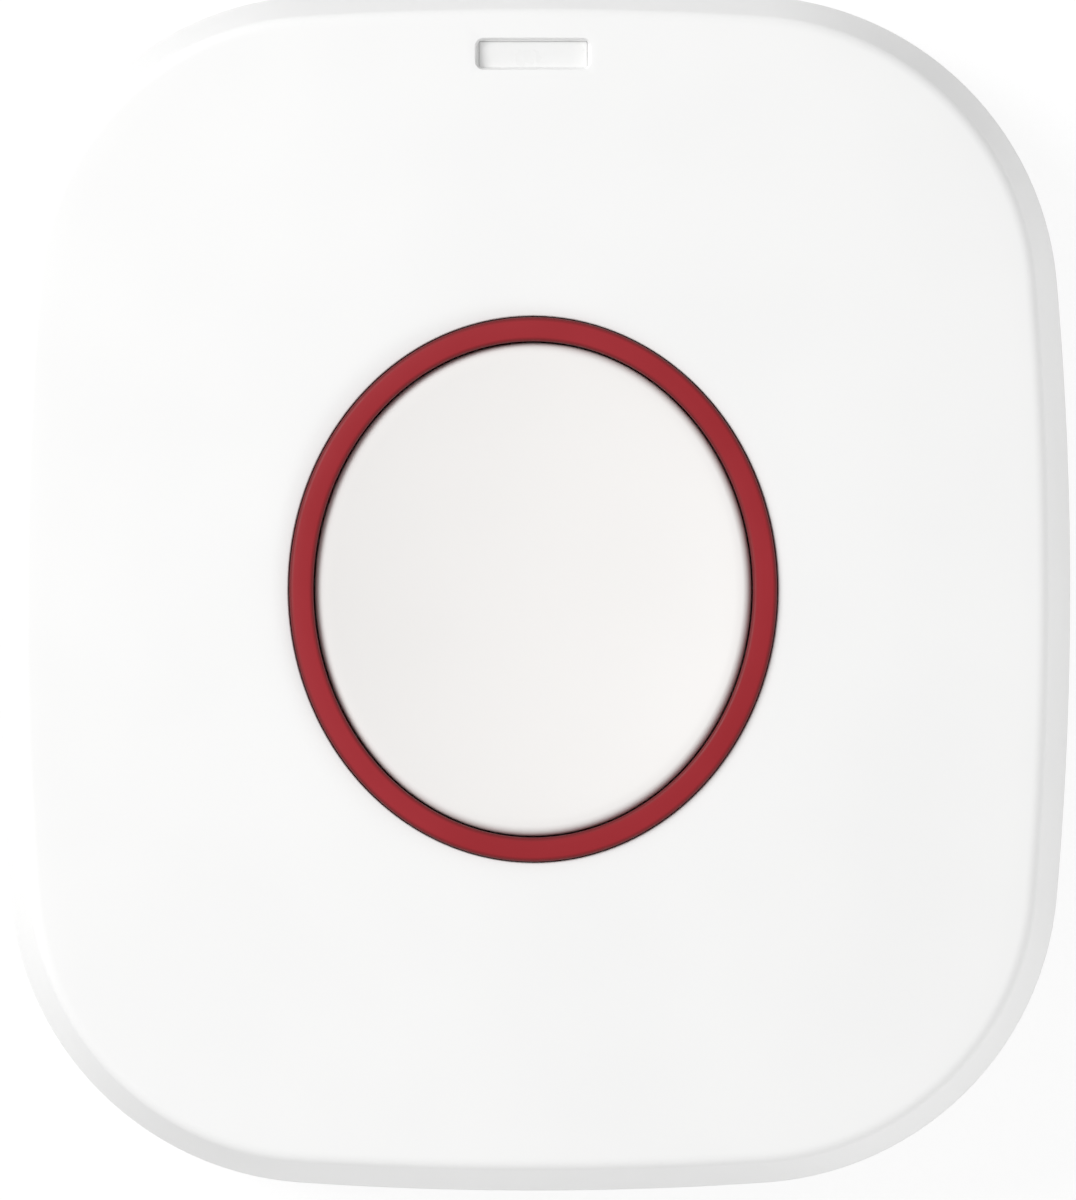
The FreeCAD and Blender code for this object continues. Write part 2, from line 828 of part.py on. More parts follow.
def trim_ring():
    """Oval ring in its seat, a little proud of the face, with eased top edges."""
    body = new_body("ring_form")
    top = S.crown_height + S.ring_proud
    pad(body, "ring_blank", seat_height, top, draw_all, [(draw_oval, ring_outer), (draw_oval, ring_inner)])
    crown = crown_cut(body, "ring_crown", top, S.crown_radius)
    doc.recompute()
    edges = edges_between(crown, seat_height.number + S.ring_depth.number / 2, top.number)
    dressed(body, "Fillet", "ring_edges", crown, edges, "Radius", S.ring_edge)
    body.Label = "trim_ring"
    return body


def push_button():
    """Oval cap with a dished face, a skirt, a stop flange and a ribbed stem that presses the pad."""
    body = new_body("button_form")
    flange_base = flange_top - S.flange_thickness
    pad(body, "button_blank", flange_base, button_rim, draw_oval, button_outer)
    pad(body, "button_flange", flange_base, flange_top, draw_oval, flange_outer)
    ceiling = button_rim - S.dish_depth - S.button_wall
    pocket(body, "button_hollow", flange_base, ceiling, draw_oval, button_inner)
    arms = [(draw_box, (0, 0), button_outer[0] * 2 - S.button_skirt, S.stem_rib)]
    pad(body, "button_arm_across", flange_base, ceiling, draw_all, arms)
    uprights = [(draw_box, (0, 0), S.stem_rib, button_outer[1] * 2 - S.button_skirt)]
    pad(body, "button_arm_upright", flange_base, ceiling, draw_all, uprights)
    hat_room = S.hat_radius + S.flange_clearance
    pocket(body, "hat_way", flange_base, stem_end, draw_circle, 0, 0, hat_room)
    pad(body, "button_stem", stem_end, ceiling, draw_circle, 0, 0, S.stem_radius)
    doc.recompute()
    rim = edges_between(body.Tip, button_rim.number, button_rim.number)
    dressed(body, "Fillet", "button_rim", body.Tip, rim, "Radius", S.button_edge)
    dish = doc.addObject("Part::Ellipsoid", "button_dish")
    reach = S.dish_reach
    share = button_outer[0] / reach
    flatness = Size(f"(1 - sqrt(1 - {share.text} ^ 2))", 1 - math.sqrt(1 - share.number ** 2))
    depth = S.dish_depth / flatness
    set_length(dish, "Radius1", depth)
    set_length(dish, "Radius2", reach)
    set_length(dish, "Radius3", reach * button_outer[1] / button_outer[0])
    centre = button_rim - S.dish_depth + depth
    dish.Placement.Base.z = centre.number
    dish.setExpression("Placement.Base.z", centre.text)
    return boolean("Cut", "push_button", body, [dish])


def light_pipe():
    """Window that fills the slot, with a shoulder under the face and a foot over the lamp."""
    body = new_body("light_pipe")
    foot_low = board_top + S.led_height + S.led_gap
    foot_high = foot_low + S.pipe_foot_height
    outer_y = pipe_inner_y + S.pipe_depth
    upright_pad(body, "pipe_blade", "YZ_Plane", S.pipe_width, [
        (pipe_foot_y, foot_low),
        (outer_y, foot_low),
        (outer_y, window_floor),
        (pipe_inner_y, window_floor),
        (pipe_inner_y, foot_high + S.pipe_foot_reach),
        (pipe_foot_y, foot_high),
    ])
    return body


# Seal under the button

def button_seal():
    """Silicone membrane: a clamped rim, a thin web and a hat over the switch that carries the pad."""
    body = new_body("button_seal")
    web_low = board_top + S.seal_web_lift
    web_high = web_low + S.seal_web
    rim = [(draw_oval, seal_outer), (draw_oval, seal_inner)]
    pad(body, "seal_rim", board_top, seal_rim_top, draw_all, rim)
    pad(body, "seal_web_sheet", web_low, web_high, draw_oval, oval(seal_inner, S.seal_rim_width / 2))
    pad(body, "seal_hat", web_low, pad_top, draw_circle, 0, 0, S.hat_radius)
    inside = S.hat_radius - S.hat_wall
    pocket(body, "hat_room", web_low, plunger_top, draw_circle, 0, 0, inside)
    return body


# Tactile switch

def switch_body():
    body = new_body("switch_body")
    square = [(draw_box, (0, 0), S.switch_width, S.switch_width)]
    top = board_top + S.switch_body_height
    pad(body, "switch_block", board_top, top, draw_all, square)
    pocket(body, "switch_bore", board_top + S.switch_floor, top, draw_circle, 0, 0, S.switch_bore)
    return body


def switch_frame():
    """Sheet-metal cover of the switch, with a hole for the plunger and two legs bent down."""
    body = new_body("switch_frame")
    low = board_top + S.switch_body_height
    plate = [(draw_box, (0, 0), S.switch_width + S.frame_thickness * 2, S.switch_width)]
    pad(body, "frame_plate", low, switch_top, draw_all, plate)
    middle = S.switch_width / 2 + S.frame_thickness / 2
    legs = [
        (draw_box, (middle, 0), S.frame_thickness, S.frame_leg * 2),
        (draw_box, (-middle, 0), S.frame_thickness, S.frame_leg * 2),
    ]
    pad(body, "frame_legs", board_top, low, draw_all, legs)
    pocket(body, "frame_hole", low, switch_top, draw_circle, 0, 0, S.plunger_radius + S.plunger_clearance)
    return body


def switch_plunger():
    body = new_body("switch_plunger")
    foot_top = board_top + S.switch_body_height - S.plunger_clearance / 2
    foot_low = foot_top - S.plunger_foot_height
    turned(body, "plunger_profile", [
        (0, foot_low),
        (S.plunger_foot, foot_low),
        (S.plunger_foot, foot_top),
        (S.plunger_radius, foot_top),
        (S.plunger_radius, plunger_top),
        (0, plunger_top),
    ])
    return body


def snap_dome():
    """Thin domed disc that snaps through when the plunger comes down."""
    body = new_body("snap_dome")
    low = board_top + S.switch_floor
    crest = low + S.dome_rise
    slope = S.dome_radius / 2
    turned(body, "dome_profile", [
        (0, crest),
        (0, crest - S.dome_thickness),
        (slope, crest - S.dome_thickness * 2),
        (S.dome_radius, low),
        (S.dome_radius, low + S.dome_thickness),
        (slope, crest - S.dome_thickness),
    ])
    return body


# Circuit board and what is soldered on it

def circuit_board():
    body = new_body("circuit_board")
    low = S.board_height
    pad(body, "board_blank", low, board_top, draw_outline, S.board_inset)
    notches = circles_at(case_screw_places, S.front_boss_radius + S.board_gap)
    pocket(body, "board_notches", low, board_top, draw_all, notches)
    pins = circles_at(board_pin_places, S.pin_radius + S.screw_fit)
    pocket(body, "board_pin_holes", low, board_top, draw_all, pins)
    holes = circles_at(board_screw_places, S.board_screw_core + S.screw_fit)
    pocket(body, "board_screw_holes", low, board_top, draw_all, holes)
    return body


def block(name, places, width, length, low, high):
    """One or more plain chips of one size."""
    body = new_body(name)
    boxes = [(draw_box, place, width, length) for place in places]
    pad(body, name + "_block", low, high, draw_all, boxes)
    return body


def status_led():
    top = board_top + S.led_height
    place = [(0, slot_y - S.led_shift)]
    return block("status_led", place, S.led_width, S.led_depth, board_top, top)


def radio_module():
    """Transmitter under a shield can with softened edges."""
    top = board_top + S.radio_height
    inner_x = turret_outer[0] + S.radio_gap
    outer_x = half_width - S.radio_edge
    place = [(-(inner_x + outer_x) / 2, 0)]
    body = block("radio_module", place, outer_x - inner_x, S.radio_length, board_top, top)
    doc.recompute()
    roof = edges_between(body.Tip, top.number, top.number)
    dressed(body, "Chamfer", "can_edge", body.Tip, roof, "Size", S.radio_corner / 2)
    return body


def microcontroller():
    top = board_top + S.chip_height
    place = [(-S.chip_x, half_length - S.chip_edge)]
    return block("microcontroller", place, S.chip_size, S.chip_size, board_top, top)


def crystal():
    top = board_top + S.crystal_height
    place = [(S.crystal_x, half_length - S.crystal_edge)]
    return block("crystal", place, S.crystal_length, S.crystal_width, board_top, top)


def ceramic_capacitors():
    top = board_top + S.capacitor_height
    places = []
    for step in range(CAPACITOR_COUNT):
        shift = S.capacitor_pitch * step
        places.append((S.crystal_x + shift, half_length - S.capacitor_edge))
        places.append((S.crystal_x + shift, -tank_y))
    return block("ceramic_capacitors", places, S.capacitor_width, S.capacitor_length, board_top, top)


def reservoir_capacitor():
    top = board_top + S.tank_height
    place = [(-S.tank_x, -tank_y)]
    return block("reservoir_capacitor", place, S.tank_length, S.tank_width, board_top, top)


def antenna_loop():
    """Round wire bent into a flat staple that stands on the board."""
    body = new_body("antenna_loop")
    wire_x = half_width - S.antenna_edge
    path = new_sketch(body, "antenna_path", plane="YZ_Plane", height=wire_x)
    half = S.antenna_span / 2
    top = board_top + S.antenna_rise
    bend = S.antenna_bend
    quarter = math.pi / 2
    left_leg = path.addGeometry(Part.LineSegment(vector(-half, board_top), vector(-half, top - bend)), False)
    left_bend = path.addGeometry(Part.ArcOfCircle(
        Part.Circle(vector(bend - half, top - bend), UP, bend.number), quarter, 2 * quarter), False)
    run = path.addGeometry(Part.LineSegment(vector(bend - half, top), vector(half - bend, top)), False)
    right_bend = path.addGeometry(Part.ArcOfCircle(
        Part.Circle(vector(half - bend, top - bend), UP, bend.number), 0, quarter), False)
    right_leg = path.addGeometry(Part.LineSegment(vector(half, top - bend), vector(half, board_top)), False)
    relation(path, "Tangent", left_leg, END, left_bend, END)
    relation(path, "Tangent", left_bend, START, run, START)
    relation(path, "Tangent", run, END, right_bend, END)
    relation(path, "Tangent", right_bend, START, right_leg, START)
    relation(path, "Vertical", left_leg)
    relation(path, "Vertical", right_leg)
    relation(path, "Horizontal", run)
    relation(path, "Equal", left_bend, right_bend)
    dimension(path, "Radius", (left_bend,), bend)
    place_point(path, (left_leg, START), -half, board_top)
    place_point(path, (right_leg, END), half, board_top)
    dimension(path, "DistanceY", (*ORIGIN_POINT, run, START), top)
    section = new_sketch(body, "antenna_section", height=board_top)
    draw_circle(section, wire_x, -half, S.antenna_wire)
    pipe = body.newObject("PartDesign::AdditivePipe", "antenna_wire")
    pipe.Profile = section
    pipe.Spine = (path, [])
    return body


# Cell, its contacts and the door in the back

def coin_cell():
    """Sealed cell: the can below, the smaller cap on top, a groove of sealing ring between them."""
    body = new_body("coin_cell")
    step = cell_top - S.cell_cap_step
    turned(body, "cell_profile", [
        (0, cell_base),
        (S.cell_radius - S.cell_cap_step, cell_base),
        (S.cell_radius, cell_base + S.cell_cap_step),
        (S.cell_radius, step - S.cell_cap_step),
        (S.cell_radius - S.cell_cap_step, step),
        (S.cell_cap_radius, step),
        (S.cell_cap_radius, cell_top),
        (0, cell_top),
    ])
    return body


def negative_contact():
    """Leaf soldered under the board whose finger comes down onto the cap of the cell."""
    body = new_body("negative_contact")
    sheet = S.contact_sheet
    start = -S.finger_start
    bend = start + S.finger_foot
    tip = S.finger_start
    touch = cell_top + S.contact_gap
    upright_pad(body, "finger", "XZ_Plane", S.finger_width, [
        (start, S.board_height),
        (start, S.board_height - sheet),
        (bend, S.board_height - sheet),
        (tip - S.finger_foot / 2, touch),
        (tip, touch),
        (tip, touch + sheet),
        (tip - S.finger_foot / 2, touch + sheet),
        (bend, S.board_height),
    ])
    return body


def positive_contact():
    """Clip soldered under the board whose leaf stands against the rim of the cell."""
    body = new_body("positive_contact")
    sheet = S.contact_sheet
    inner = S.cell_radius + S.contact_gap
    outer = inner + sheet
    upright_pad(body, "clip", "YZ_Plane", S.contact_width, [
        (inner, cell_base + S.cell_cap_step),
        (outer, cell_base + S.cell_cap_step),
        (outer, S.board_height - sheet),
        (outer + S.contact_foot, S.board_height - sheet),
        (outer + S.contact_foot, S.board_height),
        (inner, S.board_height),
    ])
    return body


def wedge(sketch, radius, first, last):
    """A sector from the centre out to a radius, between two angles in degrees."""
    first_angle = math.radians(first)
    last_angle = math.radians(last)
    start = vector(radius.number * math.cos(first_angle), radius.number * math.sin(first_angle))
    end = vector(radius.number * math.cos(last_angle), radius.number * math.sin(last_angle))
    middle = vector(0, 0)
    out = sketch.addGeometry(Part.LineSegment(middle, start), False)
    circle = Part.Circle(middle, UP, radius.number)
    rim = sketch.addGeometry(Part.ArcOfCircle(circle, first_angle, last_angle), False)
    back = sketch.addGeometry(Part.LineSegment(end, middle), False)
    relation(sketch, "Coincident", out, END, rim, START)
    relation(sketch, "Coincident", rim, END, back, START)
    relation(sketch, "Coincident", back, END, *ORIGIN_POINT)
    relation(sketch, "Coincident", out, START, *ORIGIN_POINT)
    relation(sketch, "Coincident", rim, CENTRE, *ORIGIN_POINT)
    dimension(sketch, "Radius", (rim,), radius)
    return out, back


def draw_sector(sketch, radius, middle_angle, spread):
    """A sector whose two straight sides are held by their angles to the horizontal axis."""
    half = as_size(spread) / 2
    first = as_size(middle_angle) - half
    last = as_size(middle_angle) + half
    out, back = wedge(sketch, radius, first.number, last.number)
    place_angle(sketch, (out, START), first)
    place_angle(sketch, (back, END), last)


def place_angle(sketch, point, angle):
    """Holds a line that starts at the origin at an angle to the horizontal axis."""
    text = f"({angle.text}) * 1 deg"
    index = sketch.addConstraint(Sketcher.Constraint(
        "Angle", ACROSS_AXIS, START, *point, math.radians(angle.number)))
    label = f"size{index}"
    sketch.renameConstraint(index, label)
    sketch.setExpression(f"Constraints.{label}", text)


def patterned(body, name, feature):
    """Repeats a feature evenly about the upright axis, once for each lug."""
    pattern = body.newObject("PartDesign::PolarPattern", name)
    pattern.Originals = [feature]
    pattern.Axis = (origin_feature(body, "Z_Axis"), [""])
    pattern.Angle = FULL_TURN
    pattern.Occurrences = int(S.lug_count.number)
    pattern.setExpression("Occurrences", S.lug_count.text)
    body.Tip = pattern
    return pattern


def battery_door():
    """Round door with a coin slot, a hub under the ledge and bayonet lugs."""
    body = new_body("battery_door")
    flange_low = S.door_recess
    flange_high = S.door_recess + S.door_flange
    pad(body, "door_disc", flange_low, flange_high, draw_circle, 0, 0, S.door_radius)
    hub_top = lug_base + S.lug_thickness
    pad(body, "door_hub", flange_high, hub_top, draw_circle, 0, 0, S.door_hub_radius)
    lug = pad(body, "door_lug", lug_base, hub_top, draw_sector, S.lug_radius, S.lug_turn, S.lug_arc)
    patterned(body, "door_lugs", lug)
    groove_bore = S.door_seal_radius - S.door_seal_cord - S.door_seal_gap
    groove_roof = door_seal_height - S.door_seal_cord - S.door_seal_gap
    ring_groove = [(draw_circle, 0, 0, S.door_radius), (draw_circle, 0, 0, groove_bore)]
    pocket(body, "seal_groove", groove_roof, flange_high, draw_all, ring_groove)
    slot = [(draw_box, (0, 0), S.coin_slot_length, S.coin_slot_width)]
    pocket(body, "coin_slot", flange_low, flange_low + S.coin_slot_depth, draw_all, slot)
    doc.recompute()
    outer = edges_between(body.Tip, flange_low.number, flange_low.number, is_round)
    dressed(body, "Chamfer", "door_edge", body.Tip, outer, "Size", S.seam_chamfer)
    return body


def is_round(edge):
    return isinstance(edge.Curve, Part.Circle)


def door_seal():
    """Moulded ring of square section in the corner groove of the door."""
    body = new_body("door_seal")
    low = door_seal_height - S.door_seal_cord
    high = door_seal_height + S.door_seal_cord
    outer = S.door_seal_radius + S.door_seal_cord
    inner = S.door_seal_radius - S.door_seal_cord
    ring = [(draw_circle, 0, 0, outer), (draw_circle, 0, 0, inner)]
    pad(body, "seal_ring", low, high, draw_all, ring)
    return body


# Rear cover: a tray with the cell well in the middle and keyholes above and below it

half_travel = S.keyhole_travel / 2
keyhole_ends = (half_travel + keyhole_middle, half_travel - keyhole_middle)


def rear_form():
    body = new_body("rear_form")
    eased = S.seam_height - S.seam_chamfer
    draft = tapered_form(body, "rear_draft", 0, S.back_taper, eased, 0)
    doc.recompute()
    foot = edges_between(draft, 0, 0)
    dressed(body, "Fillet", "rear_foot", draft, foot, "Radius", S.back_radius)
    tapered_form(body, "rear_seam_edge", eased, 0, S.seam_height, S.seam_chamfer)
    return body


def rear_cavity():
    body = new_body("rear_cavity")
    above = S.seam_height + S.tongue_depth
    pad(body, "lip_room", shelf_height, above, draw_outline, S.lip_wall)
    low_inset = S.shelf_wall + S.back_taper
    tapered_form(body, "tray_room", S.floor_thickness, low_inset, S.seam_height, S.shelf_wall)
    return body


def keyhole_boxes(wall):
    """Outline of the pockets behind the keyholes, grown by a wall."""
    boxes = []
    for end in keyhole_ends:
        width = S.keyhole_head * 2 + wall * 2
        length = S.keyhole_travel + S.keyhole_head * 2 + wall * 2
        boxes.append((draw_box, (0, end - half_travel), width, length))
    return boxes


def rear_structure():
    """Bosses, keyhole boxes, cell well and ribs, rooted half way down in the floor."""
    body = new_body("rear_structure")
    root = S.floor_thickness / 2
    bosses = circles_at(case_screw_places, S.rear_boss_radius)
    pad(body, "rear_bosses", root, S.seam_height, draw_all, bosses)
    roof = S.floor_thickness + S.keyhole_depth + S.keyhole_wall
    pad(body, "keyhole_boxes", root, roof, draw_all, keyhole_boxes(S.keyhole_wall))
    pad(body, "cell_well", root, well_top, draw_circle, 0, 0, well_radius)
    across = [(draw_box, (0, 0), S.body_width, S.rib_width)]
    pad(body, "rear_rib_across", root, S.rear_rib_height, draw_all, across)
    upright = [(draw_box, (0, 0), S.rib_width, S.body_length)]
    pad(body, "rear_rib_upright", root, S.rear_rib_height, draw_all, upright)
    return body


def rear_limits():
    """The tray's outer form carried up to the board, which trims the structure."""
    body = new_body("rear_limits")
    pad(body, "limit", 0, S.seam_height, draw_outline, S.lip_wall + S.back_taper)
    pad(body, "limit_well", S.seam_height, well_top, draw_circle, 0, 0, well_radius)
    return body


def rear_cuts():
    body = new_body("rear_cuts")
    pad(body, "door_recess", 0, recess_floor, draw_circle, 0, 0, recess_radius)
    pad(body, "hub_way", recess_floor, lock_height, draw_circle, 0, 0, ledge_bore)
    room = S.lug_radius + S.door_hub_clearance
    pad(body, "lug_sweep", lock_height, lug_room, draw_circle, 0, 0, room)
    pad(body, "cell_room", lug_room, well_top, draw_circle, 0, 0, cell_radius_room)
    notch = pad(body, "lug_notch", recess_floor, lock_height, draw_sector, room, 0, S.lug_notch_arc)
    patterned(body, "lug_notches", notch)
    reach = S.cell_radius + S.contact_sheet + S.contact_foot
    gap = S.contact_sheet + S.contact_foot
    clip = [(draw_box, (0, reach - gap / 2), S.contact_slot, gap * 2)]
    pad(body, "contact_gap_room", cell_base, well_top, draw_all, clip)
    pockets = circles_at(case_screw_places, S.screw_pocket)
    pad(body, "screw_pockets", 0, S.screw_sink + S.screw_cap, draw_all, pockets)
    passages = circles_at(case_screw_places, S.screw_passage)
    pad(body, "screw_passages", 0, S.seam_height, draw_all, passages)
    key_rooms = keyhole_boxes(ZERO)
    pad(body, "keyhole_rooms", S.floor_thickness, S.floor_thickness + S.keyhole_depth, draw_all, key_rooms)
    heads = [(draw_circle, 0, end - S.keyhole_travel, S.keyhole_head) for end in keyhole_ends]
    pad(body, "keyhole_heads", 0, S.floor_thickness, draw_all, heads)
    slots = []
    for end in keyhole_ends:
        slots.append((draw_box, (0, end - half_travel), S.keyhole_slot * 2, S.keyhole_travel))
    pad(body, "keyhole_slots", 0, S.floor_thickness, draw_all, slots)
    ends = [(draw_circle, 0, end, S.keyhole_slot) for end in keyhole_ends]
    pad(body, "keyhole_ends", 0, S.floor_thickness, draw_all, ends)
    return body


def rear_cover():
    form = rear_form()
    tray = boolean("Cut", "rear_tray", form, [rear_cavity()])
    inside = boolean("Common", "rear_inside", rear_structure(), [rear_limits()])
    whole = boolean("Fuse", "rear_whole", tray, [inside])
    return boolean("Cut", "rear_cover", whole, [rear_cuts()])


def housing_gasket():
    """Flat seal on the shelf of the rear cover, under the front cover's tongue."""
    body = new_body("housing_gasket")
    outer = S.lip_wall + S.tongue_clearance + S.gasket_clearance
    inner = S.shelf_wall - S.gasket_clearance
    high = shelf_height + S.gasket_height
    pad(body, "gasket", shelf_height, high, draw_all, [(draw_outline, outer), (draw_outline, inner)])
    return body


# Screws

def cross_marks(places):
    """Cross-shaped driver recesses, drawn as twelve-sided outlines."""
    reach = S.screw_cross / 2
    half = S.screw_cross_width / 2
    outline = [
        (half, half), (half, reach), (-half, reach), (-half, half), (-reach, half), (-reach, -half),
        (-half, -half), (-half, -reach), (half, -reach), (half, -half), (reach, -half), (reach, half),
    ]
    crosses = []
    for across, upright in places:
        crosses.append((draw_polygon, [(across + dx, upright + dy) for dx, dy in outline]))
    return crosses


def case_screws():
    """Four self-tapping screws whose heads sit in the back."""
    body = new_body("case_screws")
    head_low = S.screw_sink
    head_high = S.screw_sink + S.screw_cap
    tip = head_high + S.screw_length
    pad(body, "case_heads", head_low, head_high, draw_all, circles_at(case_screw_places, S.screw_head))
    pad(body, "case_shanks", head_high, tip, draw_all, circles_at(case_screw_places, S.screw_core))
    cross_top = head_low + S.screw_cross_depth
    pocket(body, "case_crosses", head_low, cross_top, draw_all, cross_marks(case_screw_places))
    doc.recompute()
    rims = edges_between(body.Tip, head_low.number, head_low.number, is_round)
    dressed(body, "Chamfer", "case_head_edges", body.Tip, rims, "Size", S.screw_cross_width / 2)
    return body


def board_screws():
    body = new_body("board_screws")
    head_low = S.board_height - S.board_screw_cap
    tip = S.board_height + S.board_screw_length
    heads = circles_at(board_screw_places, S.board_screw_head)
    pad(body, "board_heads", head_low, S.board_height, draw_all, heads)
    shanks = circles_at(board_screw_places, S.board_screw_core)
    pad(body, "board_shanks", S.board_height, tip, draw_all, shanks)
    return body


SUB_PARTS = [
    front_cover, trim_ring, push_button, light_pipe, button_seal, switch_body, switch_frame, switch_plunger,
    snap_dome, circuit_board, status_led, radio_module, microcontroller, crystal, ceramic_capacitors,
    reservoir_capacitor, antenna_loop, coin_cell, negative_contact, positive_contact, battery_door, door_seal,
    rear_cover, housing_gasket, case_screws, board_screws,
]
SOLIDS_IN_GROUP = {
    "case_screws": len(case_screw_places),
    "board_screws": len(board_screw_places),
    "ceramic_capacitors": CAPACITOR_COUNT * 2,
}


def check_document():
    """Stops if any object failed, because a recompute can fail without raising."""
    for item in doc.Objects:
        if "Invalid" in item.State or "Error" in item.State:
            raise RuntimeError(f"{item.Label} failed: {item.State}")


def write_parts(pieces):
    for piece in pieces:
        shape = piece.Shape
        expected = SOLIDS_IN_GROUP.get(piece.Label, 1)
        if shape.isNull() or not shape.isValid() or len(shape.Solids) != expected:
            raise RuntimeError(f"{piece.Label} isn't {expected} sound solid(s)")
    for piece in pieces:
        piece.Shape.exportStep(f"parts/{piece.Label}.step")


pieces = [make() for make in SUB_PARTS]
doc.recompute()
check_document()
write_parts(pieces)
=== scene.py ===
from math import atan2, cos, hypot, pi, radians, sin, sqrt, tan

import bmesh
import bpy
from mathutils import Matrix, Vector


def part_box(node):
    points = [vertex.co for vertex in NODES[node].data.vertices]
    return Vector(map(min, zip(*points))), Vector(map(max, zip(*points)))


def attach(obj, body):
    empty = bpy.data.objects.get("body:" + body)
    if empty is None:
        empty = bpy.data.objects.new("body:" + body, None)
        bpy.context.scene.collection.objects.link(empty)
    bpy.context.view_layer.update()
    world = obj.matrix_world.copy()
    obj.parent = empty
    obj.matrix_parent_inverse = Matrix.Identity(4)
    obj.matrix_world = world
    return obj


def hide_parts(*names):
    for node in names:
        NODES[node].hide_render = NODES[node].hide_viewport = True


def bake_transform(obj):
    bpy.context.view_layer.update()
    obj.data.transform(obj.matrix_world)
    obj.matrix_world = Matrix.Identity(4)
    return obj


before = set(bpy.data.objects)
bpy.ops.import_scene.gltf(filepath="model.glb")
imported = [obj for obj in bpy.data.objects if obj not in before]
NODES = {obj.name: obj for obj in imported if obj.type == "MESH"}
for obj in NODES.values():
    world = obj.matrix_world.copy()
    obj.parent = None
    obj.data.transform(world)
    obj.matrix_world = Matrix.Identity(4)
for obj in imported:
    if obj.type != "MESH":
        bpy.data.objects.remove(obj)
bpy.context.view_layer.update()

# Wireless panic button lying on its back: +Z is the button side, +Y the end with the light window.
# Everything is in metres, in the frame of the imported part.

MM = 0.001
HALF_TURN = pi
QUARTER = pi / 2
FULL_TURN = pi * 2
MERGE_REACH = 0.002 * MM


def low(node):
    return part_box(node)[0]


def high(node):
    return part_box(node)[1]


def centre_of(node):
    corner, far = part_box(node)
    return (corner.x + far.x) / 2, (corner.y + far.y) / 2


# Sizes of the housing

BODY_WIDTH = 53.6 * MM
BODY_LENGTH = 60.0 * MM
SIDE_RADIUS = 176.0 * MM
END_RADIUS = 168.0 * MM
CORNER_RADIUS = 15.6 * MM
CROWN_HEIGHT = 15.6 * MM
CROWN_RADIUS = 256.0 * MM
SEAM_HEIGHT = 5.4 * MM
SEAM_EASE = 0.2 * MM
FRONT_TAPER = 1.38 * MM
CREASE_RADIUS = 0.7 * MM
BACK_TAPER = 1.0 * MM
BACK_RADIUS = 2.0 * MM
FRONT_WALL = 1.8 * MM
FLOOR_THICKNESS = 1.6 * MM
LIP_WALL = 0.8 * MM
SHELF_WALL = 2.2 * MM
TONGUE_INSET = 0.95 * MM
TONGUE_LOW = low("front_cover").z
SHELF_HEIGHT = low("housing_gasket").z
FRONT_LIFT = CROWN_HEIGHT - SEAM_HEIGHT

# Heights and ovals of the button and its ring, each oval as (half width, half length)

SEAT_HEIGHT = low("trim_ring").z
LEDGE_UNDERSIDE = 11.65 * MM
BOARD_LOW = low("circuit_board").z
BOARD_TOP = high("circuit_board").z
SEAL_RIM_TOP = 9.9 * MM
BUTTON_RIM = 15.3 * MM
FLANGE_LOW = low("push_button").z
FLANGE_TOP = 11.6 * MM
BUTTON_CEILING = 12.8 * MM
DISH_DEPTH = 1.3 * MM
DISH_REACH = 30.0 * MM
BUTTON_EDGE = 0.42 * MM
STEM_END = 11.2 * MM
RING_OUTER = (12.075 * MM, 13.485 * MM)
RING_SEAT = (12.175 * MM, 13.585 * MM)
RING_INNER = (10.925 * MM, 12.335 * MM)
BUTTON_OUTER = (10.85 * MM, 12.26 * MM)
BUTTON_INNER = (9.625 * MM, 11.035 * MM)
FLANGE_OUTER = (11.825 * MM, 13.235 * MM)
TURRET_INNER = (12.125 * MM, 13.535 * MM)
TURRET_OUTER = (13.675 * MM, 15.085 * MM)
RING_EDGE = 0.22 * MM
RING_SPREAD = 0.05 * MM
RING_RISE = 0.3 * MM
SEAT_EDGE = 0.1 * MM

# Places that repeat

CASE_SCREWS = [(x * MM, y * MM) for x, y in ((17.6, 20.8), (-17.6, 20.8), (-17.6, -20.8), (17.6, -20.8))]
BOARD_SCREWS = [(x * MM, y * MM) for x, y in ((17.2, -12.6), (-17.2, 12.6))]
BOARD_PINS = [(x * MM, y * MM) for x, y in ((17.2, 12.6), (-17.2, -12.6))]
KEYHOLE_ENDS = (22.3 * MM, -17.8 * MM)
KEYHOLE_TRAVEL = 4.5 * MM
WINDOW_Y = 26.66 * MM
WINDOW_FLOOR = high("light_pipe").z


# Shells: plain lists of points and faces that are joined into one closed mesh

def skin(rows, ring=False, tips=(None, None)):
    """Skins rows of points. A ring joins its last row to its first, and other runs close in a point at each end."""
    count = len(rows[0])
    points = [point for row in rows for point in row]
    faces = []
    links = list(zip(range(len(rows) - 1), range(1, len(rows))))
    if ring:
        links.append((len(rows) - 1, 0))
    for first, second in links:
        for place in range(count):
            beside = (place + 1) % count
            faces.append((first * count + place, first * count + beside,
                          second * count + beside, second * count + place))
    if not ring:
        for row, tip, turned in ((0, tips[0], True), (len(rows) - 1, tips[1], False)):
            middle = sum(rows[row], Vector()) / count if tip is None else tip
            points.append(middle)
            for place in range(count):
                beside = (place + 1) % count
                ends = (beside, place) if turned else (place, beside)
                faces.append((row * count + ends[0], row * count + ends[1], len(points) - 1))
    return points, faces


def prism(outline, bottom, top):
    """An upright prism on an outline of (x, y) points."""
    rows = [[Vector((x, y, height)) for x, y in outline] for height in (bottom, top)]
    return skin(rows)


def circle(place, radius, steps):
    angles = [FULL_TURN * step / steps for step in range(steps)]
    return [(place[0] + radius * cos(angle), place[1] + radius * sin(angle)) for angle in angles]


def drum(place, radius, bottom, top, steps=56):
    return prism(circle(place, radius, steps), bottom, top)


